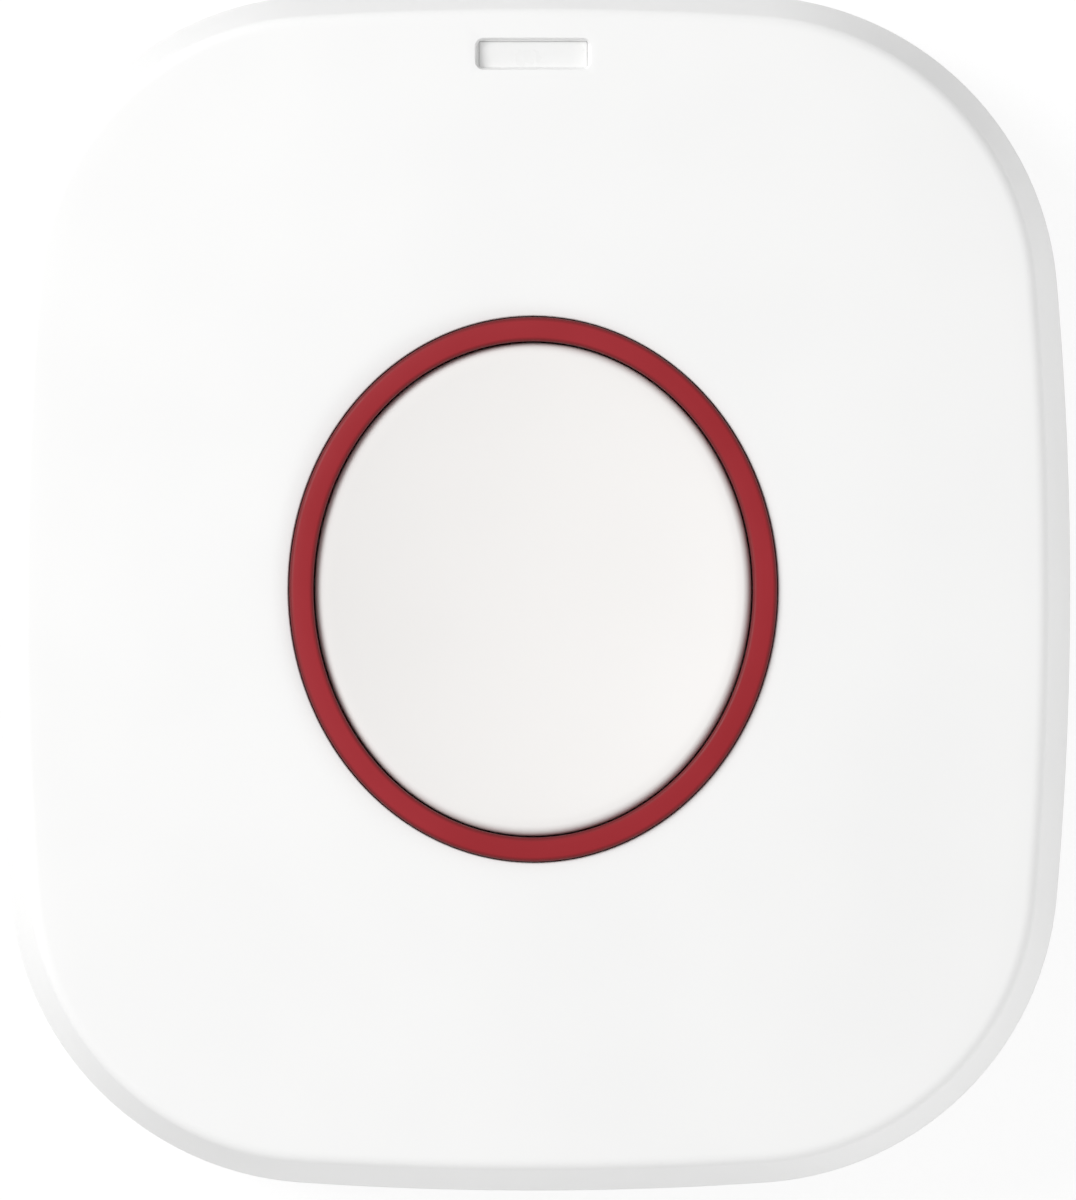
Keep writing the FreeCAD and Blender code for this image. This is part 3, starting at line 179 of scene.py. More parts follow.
def brick(place, width, length, bottom, top):
    x, y = place
    corners = [(-width, -length), (width, -length), (width, length), (-width, length)]
    return prism([(x + dx / 2, y + dy / 2) for dx, dy in corners], bottom, top)


def sector(radius, first, last, bottom, top, steps=12):
    """A wedge from the middle out to a radius, between two angles in degrees."""
    outline = [(0.0, 0.0)]
    for step in range(steps + 1):
        angle = radians(first + (last - first) * step / steps)
        outline.append((radius * cos(angle), radius * sin(angle)))
    return prism(outline, bottom, top)


def turned(profile, steps=128, place=(0.0, 0.0), tips=(None, None)):
    """A body turned about an upright axis from (radius, height) points, closed in its two ends."""
    rows = []
    for radius, height in profile:
        rows.append([Vector((x, y, height)) for x, y in circle(place, radius, steps)])
    return skin(rows, tips=tips)


def linked(name, data):
    piece = bpy.data.objects.new(name, data)
    bpy.context.scene.collection.objects.link(piece)
    return piece


def reworked(mesh, change):
    """Makes a change to a mesh through an editable copy of it."""
    work = bmesh.new()
    work.from_mesh(mesh)
    change(work)
    work.to_mesh(mesh)
    work.free()


def turn_outwards(work):
    bmesh.ops.recalc_face_normals(work, faces=work.faces)


def solid(name, *shells):
    """Joins shells into one mesh whose faces point outwards."""
    points = []
    faces = []
    for shell_points, shell_faces in shells:
        base = len(points)
        points.extend(shell_points)
        faces.extend(tuple(base + corner for corner in face) for face in shell_faces)
    mesh = bpy.data.meshes.new(name)
    mesh.from_pydata([tuple(point) for point in points], [], faces)
    reworked(mesh, turn_outwards)
    return linked(name, mesh)


def settled(piece):
    """Swaps a piece's mesh for what its modifiers make of it."""
    bpy.context.view_layer.update()
    graph = bpy.context.evaluated_depsgraph_get()
    mesh = bpy.data.meshes.new_from_object(piece.evaluated_get(graph))
    piece.modifiers.clear()
    piece.data = mesh
    return piece


def combined(piece, operation, shells):
    """Adds shells to a piece, or takes them away from it."""
    tool = solid(piece.name + "_tool", *shells)
    change = piece.modifiers.new("change", "BOOLEAN")
    change.operation = operation
    change.solver = "EXACT"
    change.use_self = len(shells) > 1
    change.object = tool
    settled(piece)
    bpy.data.objects.remove(tool)


def rounded_edges(piece, width, steps=2):
    """Takes the sharpness off a piece's edges."""
    bevel = piece.modifiers.new("edges", "BEVEL")
    bevel.width = width
    bevel.segments = steps
    bevel.limit_method = "ANGLE"
    bevel.angle_limit = radians(32.0)
    settled(piece)


def dressed(piece, finish, nodes, angle):
    """Shades a piece smooth up to an angle between faces, gives it its finish and hides the CAD nodes that it stands
    for.
    """
    piece.data.shade_smooth()
    piece.data.set_sharp_from_angle(angle=radians(angle))
    piece.data.materials.clear()
    piece.data.materials.append(finish())
    if nodes:
        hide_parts(*nodes)


def fitted(piece, finish, *nodes, body="housing", angle=28.0):
    """Dresses a finished piece that moves with one body."""
    dressed(piece, finish, nodes, angle)
    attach(piece, body)


def blended(piece, finish, node, angle=28.0):
    """Dresses a piece that the housing holds at one height and a moving body pushes at another, and bakes its place
    into its mesh; it follows neither body.
    """
    dressed(piece, finish, [node], angle)
    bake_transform(piece)


def node_copy(node, name):
    """A merged copy of a CAD node's mesh with its flat faces made whole, to be finished as a piece."""
    mesh = NODES[node].data.copy()
    mesh.name = name

    def whole(work):
        bmesh.ops.remove_doubles(work, verts=work.verts, dist=MERGE_REACH)
        bmesh.ops.dissolve_limit(work, angle_limit=radians(0.3), verts=work.verts, edges=work.edges)

    reworked(mesh, whole)
    return linked(name, mesh)


def eased_copy(node, name, edge, finish, body="housing"):
    """A CAD node's shape with its edges taken off."""
    piece = node_copy(node, name)
    rounded_edges(piece, edge * MM)
    fitted(piece, finish, node, body=body)


# The outline: four large arcs and four corner arcs, tangent all the way round

SIDE_STEPS = 24
END_STEPS = 20
CORNER_STEPS = 28


def corner_centre():
    side_x = BODY_WIDTH / 2 - SIDE_RADIUS
    end_y = BODY_LENGTH / 2 - END_RADIUS
    from_side = SIDE_RADIUS - CORNER_RADIUS
    from_end = END_RADIUS - CORNER_RADIUS
    span = hypot(side_x, end_y)
    along = (from_side ** 2 - from_end ** 2 + span ** 2) / (2 * span)
    off = sqrt(from_side ** 2 - along ** 2)
    unit_x = -side_x / span
    unit_y = end_y / span
    return side_x + along * unit_x - off * unit_y, along * unit_y + off * unit_x


def arc_rays(centre, radius, first, last, steps):
    rays = []
    for step in range(steps):
        angle = first + (last - first) * step / steps
        rays.append((Vector(centre), Vector((cos(angle), sin(angle))), radius))
    return rays


def outline_rays():
    """Each ray of the outline: centre of its arc, direction and radius."""
    corner_x, corner_y = corner_centre()
    side_reach = SIDE_RADIUS - BODY_WIDTH / 2
    end_reach = END_RADIUS - BODY_LENGTH / 2
    side_half = atan2(corner_y, corner_x + side_reach)
    end_half = QUARTER - atan2(corner_y + end_reach, corner_x)
    kinds = ((side_reach, SIDE_RADIUS, side_half, SIDE_STEPS), (end_reach, END_RADIUS, end_half, END_STEPS))
    rays = []
    for turn in range(4):
        base = turn * QUARTER
        reach, radius, half, steps = kinds[turn % 2]
        next_half = kinds[1 - turn % 2][2]
        middle = (-reach * cos(base), -reach * sin(base))
        corner = (corner_x if turn in (0, 3) else -corner_x, corner_y if turn < 2 else -corner_y)
        rays += arc_rays(middle, radius, base - half, base + half, steps)
        rays += arc_rays(corner, CORNER_RADIUS, base + half, base + QUARTER - next_half, CORNER_STEPS)
    return rays


RAYS = outline_rays()


def on_ray(ray, inset):
    centre, direction, radius = ray
    return centre + direction * (radius - inset)


def outline_rows(*places):
    """Rows round the outline, each from an inset and a height."""
    return [[Vector((*on_ray(ray, inset), height)) for ray in RAYS] for inset, height in places]


def bearings():
    """The polar angle of each outline point, at which the ovals are read."""
    return [atan2(*reversed(on_ray(ray, 0.0))) for ray in RAYS]


BEARINGS = bearings()


def oval_point(pair, change, bearing):
    half_width = pair[0] + change
    half_length = pair[1] + change
    reach = 1 / hypot(cos(bearing) / half_width, sin(bearing) / half_length)
    return Vector((reach * cos(bearing), reach * sin(bearing)))


def oval_row(pair, change, height):
    """A row round an oval, at one height or at the height that a function gives for each place."""
    row = []
    for bearing in BEARINGS:
        spot = oval_point(pair, change, bearing)
        row.append(Vector((*spot, height(spot) if callable(height) else height)))
    return row


def oval_rows(*places):
    """Rows round ovals, each from an oval and a height."""
    return [oval_row(pair, 0.0, height) for pair, height in places]


def face_height(spot, depth=0.0):
    """Height of the crowned face over a place, or of the surface at a depth below it."""
    radius = CROWN_RADIUS - depth
    return CROWN_HEIGHT - CROWN_RADIUS + sqrt(radius ** 2 - spot.x ** 2 - spot.y ** 2)


def front_inset(height):
    return FRONT_TAPER * (height - SEAM_HEIGHT) / FRONT_LIFT


def top_of_side(ray, wall):
    """Where the drafted side meets the crowned face, or their inner surfaces at a wall's depth."""
    height = CROWN_HEIGHT
    for _ in range(8):
        height = face_height(on_ray(ray, front_inset(height) + wall), wall)
    return on_ray(ray, front_inset(height) + wall), height


# Front cover

CREASE_STEPS = 8
FACE_ROWS = 16
CASE_BOSS_RADIUS = 2.6 * MM
CASE_BOSS_TOP = 13.2 * MM
POST_RADIUS = 1.9 * MM
POST_TOP = 13.8 * MM
PIN_RADIUS = 0.9 * MM
PIN_TOP = 9.0 * MM
RIB_WIDTH = 1.0 * MM
RIB_BASE = 12.0 * MM
SIDE_RIB = (13.0 * MM, 25.0 * MM)
END_RIB = (14.3 * MM, 23.95 * MM)


def crease_rows():
    """Rows of the rolled edge between the side and the face, from the side upwards."""
    rows = [[] for _ in range(CREASE_STEPS + 1)]
    for ray in RAYS:
        direction = ray[1]
        spot, height = top_of_side(ray, 0.0)
        slope = -spot.dot(direction) / sqrt(CROWN_RADIUS ** 2 - spot.length_squared)
        down_side = Vector((FRONT_TAPER, -FRONT_LIFT)).normalized()
        inwards = Vector((-1.0, -slope)).normalized()
        opening = down_side.angle(inwards)
        middle = (down_side + inwards).normalized() * CREASE_RADIUS / sin(opening / 2)
        start = down_side * CREASE_RADIUS / tan(opening / 2) - middle
        end = inwards * CREASE_RADIUS / tan(opening / 2) - middle
        for step, row in enumerate(rows):
            share = step / CREASE_STEPS
            offset = middle + start.slerp(end, share).normalized() * CREASE_RADIUS
            row.append(Vector((*(spot + direction * offset.x), height + offset.y)))
    return rows


def face_rows(rim):
    """Rows across the crowned face, from the rolled edge to the eased edge of the ring's seat."""
    rows = []
    for step in range(1, FACE_ROWS):
        share = step / FACE_ROWS
        row = []
        for start, bearing in zip(rim, BEARINGS):
            spot = start.to_2d().lerp(oval_point(RING_SEAT, SEAT_EDGE, bearing), share)
            row.append(Vector((*spot, face_height(spot))))
        rows.append(row)
    return rows


def eased_seat_rows():
    rows = []
    for step in range(4):
        angle = QUARTER * step / 3
        drop = SEAT_EDGE * (1 - cos(angle))
        change = SEAT_EDGE * (1 - sin(angle))
        rows.append(oval_row(RING_SEAT, change, lambda spot, drop=drop: face_height(spot) - drop))
    return rows


def ceiling_rows():
    """Rows under the face, from the turret out to the inner side."""
    rim = [top_of_side(ray, FRONT_WALL)[0] for ray in RAYS]
    rows = []
    for step in range(6):
        row = []
        for outer, bearing in zip(rim, BEARINGS):
            spot = oval_point(TURRET_OUTER, 0.0, bearing).lerp(outer, step / 5)
            row.append(Vector((*spot, face_height(spot, FRONT_WALL))))
        rows.append(row)
    return rows


def front_rows():
    """The whole section of the front cover, from the tongue up the outside and back down inside."""
    eased = SEAM_HEIGHT + SEAM_EASE
    crease = crease_rows()
    rows = outline_rows((FRONT_WALL + front_inset(TONGUE_LOW), TONGUE_LOW), (TONGUE_INSET, TONGUE_LOW),
                        (TONGUE_INSET, SEAM_HEIGHT), (SEAM_EASE, SEAM_HEIGHT), (front_inset(eased), eased))
    rows += crease + face_rows(crease[-1]) + eased_seat_rows()
    rows += oval_rows((RING_SEAT, SEAT_HEIGHT), (RING_INNER, SEAT_HEIGHT), (RING_INNER, LEDGE_UNDERSIDE),
                      (TURRET_INNER, LEDGE_UNDERSIDE), (TURRET_INNER, SEAL_RIM_TOP), (TURRET_OUTER, SEAL_RIM_TOP))
    return rows + ceiling_rows()


def front_additions():
    """Bosses, posts, pins and ribs, each rooted inside the face."""
    shells = [drum(place, CASE_BOSS_RADIUS, SEAM_HEIGHT + 0.1 * MM, CASE_BOSS_TOP) for place in CASE_SCREWS]
    shells += [drum(place, POST_RADIUS, BOARD_TOP, POST_TOP) for place in BOARD_SCREWS + BOARD_PINS]
    shells += [drum(place, PIN_RADIUS, BOARD_LOW, PIN_TOP, steps=32) for place in BOARD_PINS]
    for side in (1, -1):
        shells.append(sloped_rib(side, *SIDE_RIB, False))
        shells.append(sloped_rib(side, *END_RIB, True))
    return shells


def sloped_rib(side, start, end, upright):
    """A rib under the face whose top follows the crown within the wall."""
    half = RIB_WIDTH / 2
    rows = []
    for reach in (start, end):
        top = face_height(Vector((reach, 0.0)), FRONT_WALL / 2)
        corners = [(-half, RIB_BASE), (half, RIB_BASE), (half, top), (-half, top)]
        if upright:
            rows.append([Vector((across, side * reach, height)) for across, height in corners])
        else:
            rows.append([Vector((side * reach, across, height)) for across, height in corners])
    return skin(rows)


def rounded_slot(width, length, radius, place, steps=8):
    """Outline of a slot with round corners, as (x, y) points with the direction out of each."""
    outline = []
    corners = [(1, 1, 0.0), (-1, 1, QUARTER), (-1, -1, HALF_TURN), (1, -1, HALF_TURN + QUARTER)]
    for sign_x, sign_y, first in corners:
        for step in range(steps + 1):
            angle = first + QUARTER * step / steps
            out = Vector((cos(angle), sin(angle)))
            middle = Vector((place[0] + sign_x * (width / 2 - radius), place[1] + sign_y * (length / 2 - radius)))
            outline.append((middle + out * radius, out))
    return outline


def stepped(outline, *places):
    """A body on an outline of points and directions, from changes of size in mm and heights."""
    return skin([[Vector((*(spot + out * change * MM), height)) for spot, out in outline]
                 for change, height in places])


WINDOW_SLOT = (5.84 * MM, 1.64 * MM)
WINDOW_CORNER = 0.46 * MM
WINDOW_OPENING = (5.4 * MM, 1.35 * MM)
OPENING_Y = 26.58 * MM
WINDOW_DRAFT = 0.13 * MM
WINDOW_LIP = 0.03 * MM


def window_recess():
    """The slot over the window: drafted walls and a fine eased edge where they meet the face."""
    outline = rounded_slot(*WINDOW_SLOT, WINDOW_CORNER, (0.0, WINDOW_Y - 0.03 * MM))
    rows = [[Vector((*(spot - out * WINDOW_DRAFT), WINDOW_FLOOR)) for spot, out in outline]]
    for step in range(4):
        angle = QUARTER * step / 3
        row = []
        for spot, out in outline:
            wide = spot - out * WINDOW_LIP * cos(angle)
            row.append(Vector((*wide, face_height(wide) - WINDOW_LIP * (1 - sin(angle)))))
        rows.append(row)
    rows.append([Vector((point.x, point.y, CROWN_HEIGHT + MM)) for point in rows[-1]])
    return skin(rows)


def front_removals():
    shells = [window_recess(), brick((0.0, OPENING_Y), *WINDOW_OPENING, BOARD_LOW, WINDOW_FLOOR + 0.01 * MM)]
    shells += [drum(place, 1.0 * MM, 0.0, 9.9 * MM, steps=32) for place in CASE_SCREWS]
    shells += [drum(place, 0.75 * MM, BOARD_LOW, 11.9 * MM, steps=32) for place in BOARD_SCREWS]
    return shells


def make_front_cover():
    piece = solid("front_shell", skin(front_rows(), ring=True))
    combined(piece, "UNION", front_additions())
    combined(piece, "DIFFERENCE", front_removals())
    fitted(piece, housing_white, "front_cover", angle=24.0)


# Rear cover

def foot_rows():
    """Rows of the rounded foot, from the flat back to the drafted side."""
    lean = atan2(BACK_TAPER, SEAM_HEIGHT - SEAM_EASE)
    opening = QUARTER + lean
    run = BACK_RADIUS / tan(opening / 2)
    places = []
    for step in range(10):
        angle = (HALF_TURN - opening) * step / 9
        change = run - BACK_RADIUS * sin(angle)
        places.append((BACK_TAPER + change, BACK_RADIUS * (1 - cos(angle))))
    return outline_rows(*places)


def rear_rows():
    eased = SEAM_HEIGHT - SEAM_EASE
    shelf_inset = SHELF_WALL + BACK_TAPER * (1 - (SHELF_HEIGHT - FLOOR_THICKNESS) / (SEAM_HEIGHT - FLOOR_THICKNESS))
    return foot_rows() + outline_rows(
        (0.0, eased), (SEAM_EASE, SEAM_HEIGHT), (LIP_WALL, SEAM_HEIGHT), (LIP_WALL, SHELF_HEIGHT),
        (shelf_inset, SHELF_HEIGHT), (SHELF_WALL + BACK_TAPER, FLOOR_THICKNESS))


DOOR_WELL = (13.1 * MM, 1.25 * MM)
LUG_LAND = (10.9 * MM, 2.35 * MM)
LUG_GROOVE = (11.8 * MM, 3.31 * MM)
CELL_BORE = (10.25 * MM, BOARD_LOW + MM)
CELL_WALL_RADIUS = 14.35 * MM
REAR_BOSS_RADIUS = 3.1 * MM
REAR_RIB_TOP = 3.0 * MM
HEAD_OPENING = 3.2 * MM
SHANK_OPENING = 1.7 * MM


def keyhole_rooms(wall, bottom, top):
    shells = []
    for end in KEYHOLE_ENDS:
        middle = (0.0, end - KEYHOLE_TRAVEL / 2)
        across = 2 * HEAD_OPENING + wall * 2
        shells.append(brick(middle, across, KEYHOLE_TRAVEL + across, bottom, top))
    return shells


def rear_additions():
    root = FLOOR_THICKNESS / 2
    shells = [drum(place, REAR_BOSS_RADIUS, root, SEAM_HEIGHT) for place in CASE_SCREWS]
    shells += keyhole_rooms(0.9 * MM, root, FLOOR_THICKNESS + 3.6 * MM)
    shells.append(drum((0.0, 0.0), CELL_WALL_RADIUS, root, BOARD_LOW, steps=144))
    shells.append(brick((0.0, 0.0), 50.0 * MM, RIB_WIDTH, root, REAR_RIB_TOP))
    shells.append(brick((0.0, 0.0), RIB_WIDTH, 56.4 * MM, root, REAR_RIB_TOP))
    return shells


def rear_removals():
    below = -MM
    through = FLOOR_THICKNESS + 0.01 * MM
    shells = []
    for (radius, top), bottom in ((DOOR_WELL, below), (LUG_LAND, below), (LUG_GROOVE, LUG_LAND[1]),
                                  (CELL_BORE, LUG_GROOVE[1] - 0.01 * MM)):
        shells.append(drum((0.0, 0.0), radius, bottom, top, steps=144))
    shells.append(brick((0.0, 11.6 * MM), 4.6 * MM, 6.4 * MM, 3.41 * MM, CELL_BORE[1]))
    for middle in (0.0, 120.0, 240.0):
        shells.append(sector(LUG_GROOVE[0], middle - 15.0, middle + 15.0, 1.24 * MM, 2.36 * MM))
    for place in CASE_SCREWS:
        shells.append(drum(place, 2.15 * MM, below, 2.0 * MM, steps=40))
        shells.append(drum(place, 1.2 * MM, below, SEAM_HEIGHT + MM, steps=32))
    shells += keyhole_rooms(0.0, FLOOR_THICKNESS, FLOOR_THICKNESS + 2.7 * MM)
    for end in KEYHOLE_ENDS:
        middle = (0.0, end - KEYHOLE_TRAVEL / 2)
        shells.append(drum((0.0, end - KEYHOLE_TRAVEL), HEAD_OPENING, below, through))
        shells.append(drum((0.0, end), SHANK_OPENING, below, through, steps=40))
        shells.append(brick(middle, 2 * SHANK_OPENING, KEYHOLE_TRAVEL, below, through))
    return shells


def make_rear_cover():
    piece = solid("rear_tray", skin(rear_rows()))
    combined(piece, "UNION", rear_additions())
    combined(piece, "DIFFERENCE", rear_removals())
    fitted(piece, housing_white, "rear_cover", angle=24.0)


# Push button: a dished oval cap with a rolled rim, a skirt and a stop flange

DISH_ROWS = 26


def dish_height(share):
    """Height of the dish at a share of the way from its middle to its rim."""
    flatness = 1 - sqrt(1 - (BUTTON_OUTER[0] / DISH_REACH) ** 2)
    bow = 1 - sqrt(1 - (share * BUTTON_OUTER[0] / DISH_REACH) ** 2)
    return BUTTON_RIM - DISH_DEPTH + DISH_DEPTH * bow / flatness


def button_rows():
    rows = []
    rim_share = 1 - BUTTON_EDGE / BUTTON_OUTER[0]
    for step in range(1, DISH_ROWS + 1):
        share = rim_share * step / DISH_ROWS
        rows.append(oval_row([half * share for half in BUTTON_OUTER], 0.0, dish_height(share)))
    crest = dish_height(rim_share)
    for step in range(1, 7):
        angle = QUARTER * step / 6
        change = BUTTON_EDGE * (sin(angle) - 1)
        rows.append(oval_row(BUTTON_OUTER, change, crest - BUTTON_EDGE * (1 - cos(angle))))
    return rows + oval_rows((BUTTON_OUTER, FLANGE_TOP), (FLANGE_OUTER, FLANGE_TOP), (FLANGE_OUTER, FLANGE_LOW),
                            (BUTTON_INNER, FLANGE_LOW), (BUTTON_INNER, BUTTON_CEILING))


def make_push_button():
    top = Vector((0.0, 0.0, dish_height(0.0)))
    ceiling = Vector((0.0, 0.0, BUTTON_CEILING))
    piece = solid("button_cap", skin(button_rows(), tips=(top, ceiling)))
    root = BUTTON_CEILING + 0.2 * MM
    arms = [
        brick((0.0, 0.0), 20.35 * MM, 0.9 * MM, FLANGE_LOW, root),
        brick((0.0, 0.0), 0.9 * MM, 23.17 * MM, FLANGE_LOW, root),
    ]
    combined(piece, "UNION", arms)
    combined(piece, "DIFFERENCE", [drum((0.0, 0.0), 5.0 * MM, FLANGE_LOW - MM, STEM_END)])
    combined(piece, "UNION", [drum((0.0, 0.0), 1.6 * MM, STEM_END, root, steps=40)])
    fitted(piece, button_white, "push_button", body="button", angle=30.0)


# Node trees: Geometry Nodes that are built here and turned into plain meshes, and finishes

class Nodes:
    """A node tree with short ways to add nodes and links."""

    def __init__(self, group):
        self.group = group
        self.group.nodes.clear()

    def add(self, kind, inputs=None, **settings):
        node = self.group.nodes.new(kind)
        for key, value in settings.items():
            setattr(node, key, value)
        for key, value in (inputs or {}).items():
            self.feed(node.inputs[key], value)
        return node

    def feed(self, socket, value):
        """Links a socket, or the first one of a node, or else sets a plain value."""
        if isinstance(value, bpy.types.Node):
            value = value.outputs[0]
        if isinstance(value, bpy.types.NodeSocket):
            self.group.links.new(value, socket)
        else:
            socket.default_value = value

    def math(self, operation, *values):
        return self.add("ShaderNodeMath", dict(enumerate(values)), operation=operation)

    def ranged(self, value, start, end, first=0.0, last=1.0):
        return self.add("ShaderNodeMapRange", {"Value": value, "From Min": start, "From Max": end,
                                               "To Min": first, "To Max": last})


class Tree(Nodes):
    """A Geometry Nodes tree with named inputs."""

    def __init__(self, name):
        super().__init__(bpy.data.node_groups.new(name, "GeometryNodeTree"))
        self.group.interface.new_socket("Geometry", in_out="OUTPUT", socket_type="NodeSocketGeometry")
        self.inlet = self.add("NodeGroupInput")
        self.outlet = self.add("NodeGroupOutput")
        self.mesh = self.size("Mesh", None, "NodeSocketGeometry")

    def size(self, name, value=0.0, kind="NodeSocketFloat"):
        socket = self.group.interface.new_socket(name, in_out="INPUT", socket_type=kind)
        if value is not None:
            socket.default_value = value
        return self.inlet.outputs[name]

    def sizes(self, *names):
        return [self.size(name) for name in names]

    def times(self, value, share):
        return self.math("MULTIPLY", value, share)

    def vector(self, x=0.0, y=0.0, z=0.0):
        return self.add("ShaderNodeCombineXYZ", {"X": x, "Y": y, "Z": z})

    def column(self, sides, radius, height):
        return self.add("GeometryNodeMeshCylinder", {"Vertices": sides, "Radius": radius, "Depth": height},
                        fill_type="NGON")

    def moved(self, geometry, **inputs):
        return self.add("GeometryNodeTransform", {"Geometry": geometry, **inputs})

    def raised(self, geometry, height):
        return self.moved(geometry, Translation=self.vector(z=height))

    def joined(self, *geometries):
        node = self.add("GeometryNodeJoinGeometry")
        for geometry in reversed(geometries):
            self.feed(node.inputs[0], geometry)
        return node

    def finished(self, geometry, material):
        """Ends a tree in Realize Instances and Set Material."""
        real = self.add("GeometryNodeRealizeInstances", {"Geometry": geometry})
        painted = self.add("GeometryNodeSetMaterial", {"Geometry": real, "Material": material})
        self.feed(self.outlet.inputs["Geometry"], painted)

    def stood(self, block, material):
        """Stands a block at each point of the mesh that comes in, and ends the tree."""
        spots = self.add("GeometryNodeMeshToPoints", {"Mesh": self.mesh})
        self.finished(self.add("GeometryNodeInstanceOnPoints", {"Points": spots, "Instance": block}), material)


def grown(name, tree, spots=None, **sizes):
    """Runs a tree on an empty mesh, or on loose points at the given spots, and keeps the plain mesh."""
    mesh = bpy.data.meshes.new(name)
    if spots:
        mesh.from_pydata([tuple(spot) for spot in spots], [], [])
    piece = linked(name, mesh)
    change = piece.modifiers.new("shape", "NODES")
    change.node_group = tree.group
    for socket in tree.group.interface.items_tree:
        if socket.item_type == "SOCKET" and socket.in_out == "INPUT" and socket.name in sizes:
            change[socket.identifier] = sizes[socket.name]
    settled(piece)
    reworked(piece.data, turn_outwards)
    return piece


# Trim ring: a rounded section swept along an oval, whose top follows the crown of the face

# Name of the attribute that holds the share across the ring's band, by which painted shade darkens the band's two
# edges.
EDGE_SHADE_MARK = "band_share_for_painted_shade"


def ring_tree(material):
    tree = Tree("trim_ring_sweep")
    half_width, half_length, band, bottom, top, edge, crown = tree.sizes(
        "half_width", "half_length", "band", "bottom", "top", "edge", "crown")
    path = tree.add("GeometryNodeCurvePrimitiveCircle", {"Resolution": 288, "Radius": 1.0})
    oval = tree.moved(path, Scale=tree.vector(half_width, half_length, 1.0))
    upright = tree.add("GeometryNodeSetCurveNormal", {"Curve": oval}, mode="Z_UP")
    height = tree.math("SUBTRACT", top, bottom)
    section = tree.add("GeometryNodeCurvePrimitiveQuadrilateral", {"Width": band, "Height": height})
    soft = tree.add("GeometryNodeFilletCurve", {"Curve": section, "Radius": edge, "Count": 6}, mode="POLY")
    across_band = tree.add("ShaderNodeSeparateXYZ", {"Vector": tree.add("GeometryNodeInputPosition")})
    share = tree.math("DIVIDE", tree.math("ABSOLUTE", across_band.outputs["X"]), tree.times(band, 0.5))
    # The share across the band is stored for the ring's finish, which uses it to paint shade onto the two rolled
    # edges.
    shade_marked = tree.add("GeometryNodeStoreNamedAttribute", {"Geometry": soft, "Name": EDGE_SHADE_MARK, "Value": share})
    swept = tree.add("GeometryNodeCurveToMesh", {"Curve": upright, "Profile Curve": shade_marked})
    middle = tree.times(tree.math("ADD", top, bottom), 0.5)
    place = tree.add("ShaderNodeSeparateXYZ", {"Vector": tree.add("GeometryNodeInputPosition")}).outputs
    reach = tree.math("ADD", tree.times(place["X"], place["X"]), tree.times(place["Y"], place["Y"]))
    bow = tree.math("SQRT", tree.math("SUBTRACT", tree.times(crown, crown), reach))
    fall = tree.math("SUBTRACT", bow, crown)
    is_top = tree.add("FunctionNodeCompare", {"A": place["Z"], "B": middle}, data_type="FLOAT",
                      operation="GREATER_THAN")
    shaped = tree.add("GeometryNodeSetPosition", {
        "Geometry": tree.raised(swept, middle), "Selection": is_top, "Offset": tree.vector(z=fall)})
    tree.finished(shaped, material)
    return tree


def make_trim_ring():
    half_width, half_length = [(outer + inner + RING_SPREAD) / 2 for outer, inner in zip(RING_OUTER, RING_INNER)]
    piece = grown("oval_ring", ring_tree(ring_red()), half_width=half_width, half_length=half_length,
                  band=RING_OUTER[0] - RING_INNER[0] + RING_SPREAD, bottom=SEAT_HEIGHT,
                  top=CROWN_HEIGHT + RING_RISE, edge=RING_EDGE, crown=CROWN_RADIUS)
    fitted(piece, ring_red, "trim_ring", angle=50.0)


# Window and lamp

WINDOW_GAP = 0.012 * MM


def make_light_pipe():
    """The milky window fills its opening, and steps in to the lamp below the face."""
    base = low("light_pipe").z
    rows = []
    for change, height in ((0.3, base), (0.3, base + MM), (0.0, base + 1.2 * MM), (0.0, WINDOW_FLOOR - 0.03 * MM),
                           (0.03, WINDOW_FLOOR)):
        inset = WINDOW_GAP + change * MM
        width, length = [size - 2 * inset for size in WINDOW_OPENING]
        outline = rounded_slot(width, length, 0.05 * MM, (0.0, OPENING_Y))
        rows.append([Vector((*spot, height)) for spot, _ in outline])
    fitted(solid("window_pipe", skin(rows)), window_milky, "light_pipe")


def lens(place, radius, bottom, top):
    """A small domed drum."""
    profile = [(radius * share, top - drop) for share, drop in (
        (1.0, top - bottom), (1.0, 0.3 * MM), (0.92, 0.16 * MM), (0.72, 0.07 * MM), (0.4, 0.02 * MM))]
    return turned(profile, 32, place, (None, Vector((*place, top))))


def make_status_led():
    bottom = low("status_led").z
    top = high("status_led").z
    middle = centre_of("status_led")
    piece = solid("status_lamp", brick(middle, 3.2 * MM, 1.6 * MM, bottom, top - 0.2 * MM))
    combined(piece, "DIFFERENCE", [drum(middle, 0.62 * MM, top - 0.4 * MM, top, steps=32)])
    combined(piece, "UNION", [lens(middle, 0.6 * MM, bottom + 0.1 * MM, top)])
    fitted(piece, window_milky, "status_led")


# Battery door

def make_battery_door():
    base = low("battery_door").z
    roof = high("battery_door").z
    plate_top = 0.59 * MM
    step_top = 1.2 * MM
    profile = [(12.6, base), (12.74, base + 0.03 * MM), (12.87, base + 0.12 * MM), (12.9, base + 0.26 * MM),
               (12.9, plate_top), (12.02, plate_top), (12.02, step_top), (10.7, step_top),
               (10.7, roof - 0.15 * MM), (10.55, roof)]
    piece = solid("round_door", turned([(radius * MM, height) for radius, height in profile], steps=144))
    lugs = []
    for turn in range(3):
        first = 38.0 + 120.0 * turn
        lugs.append(sector(11.6 * MM, first, first + 24.0, roof - 0.8 * MM, roof - 0.02 * MM))
    combined(piece, "UNION", lugs)
    combined(piece, "DIFFERENCE", [coin_slot(base)])
    fitted(piece, housing_white, "battery_door", body="door", angle=30.0)


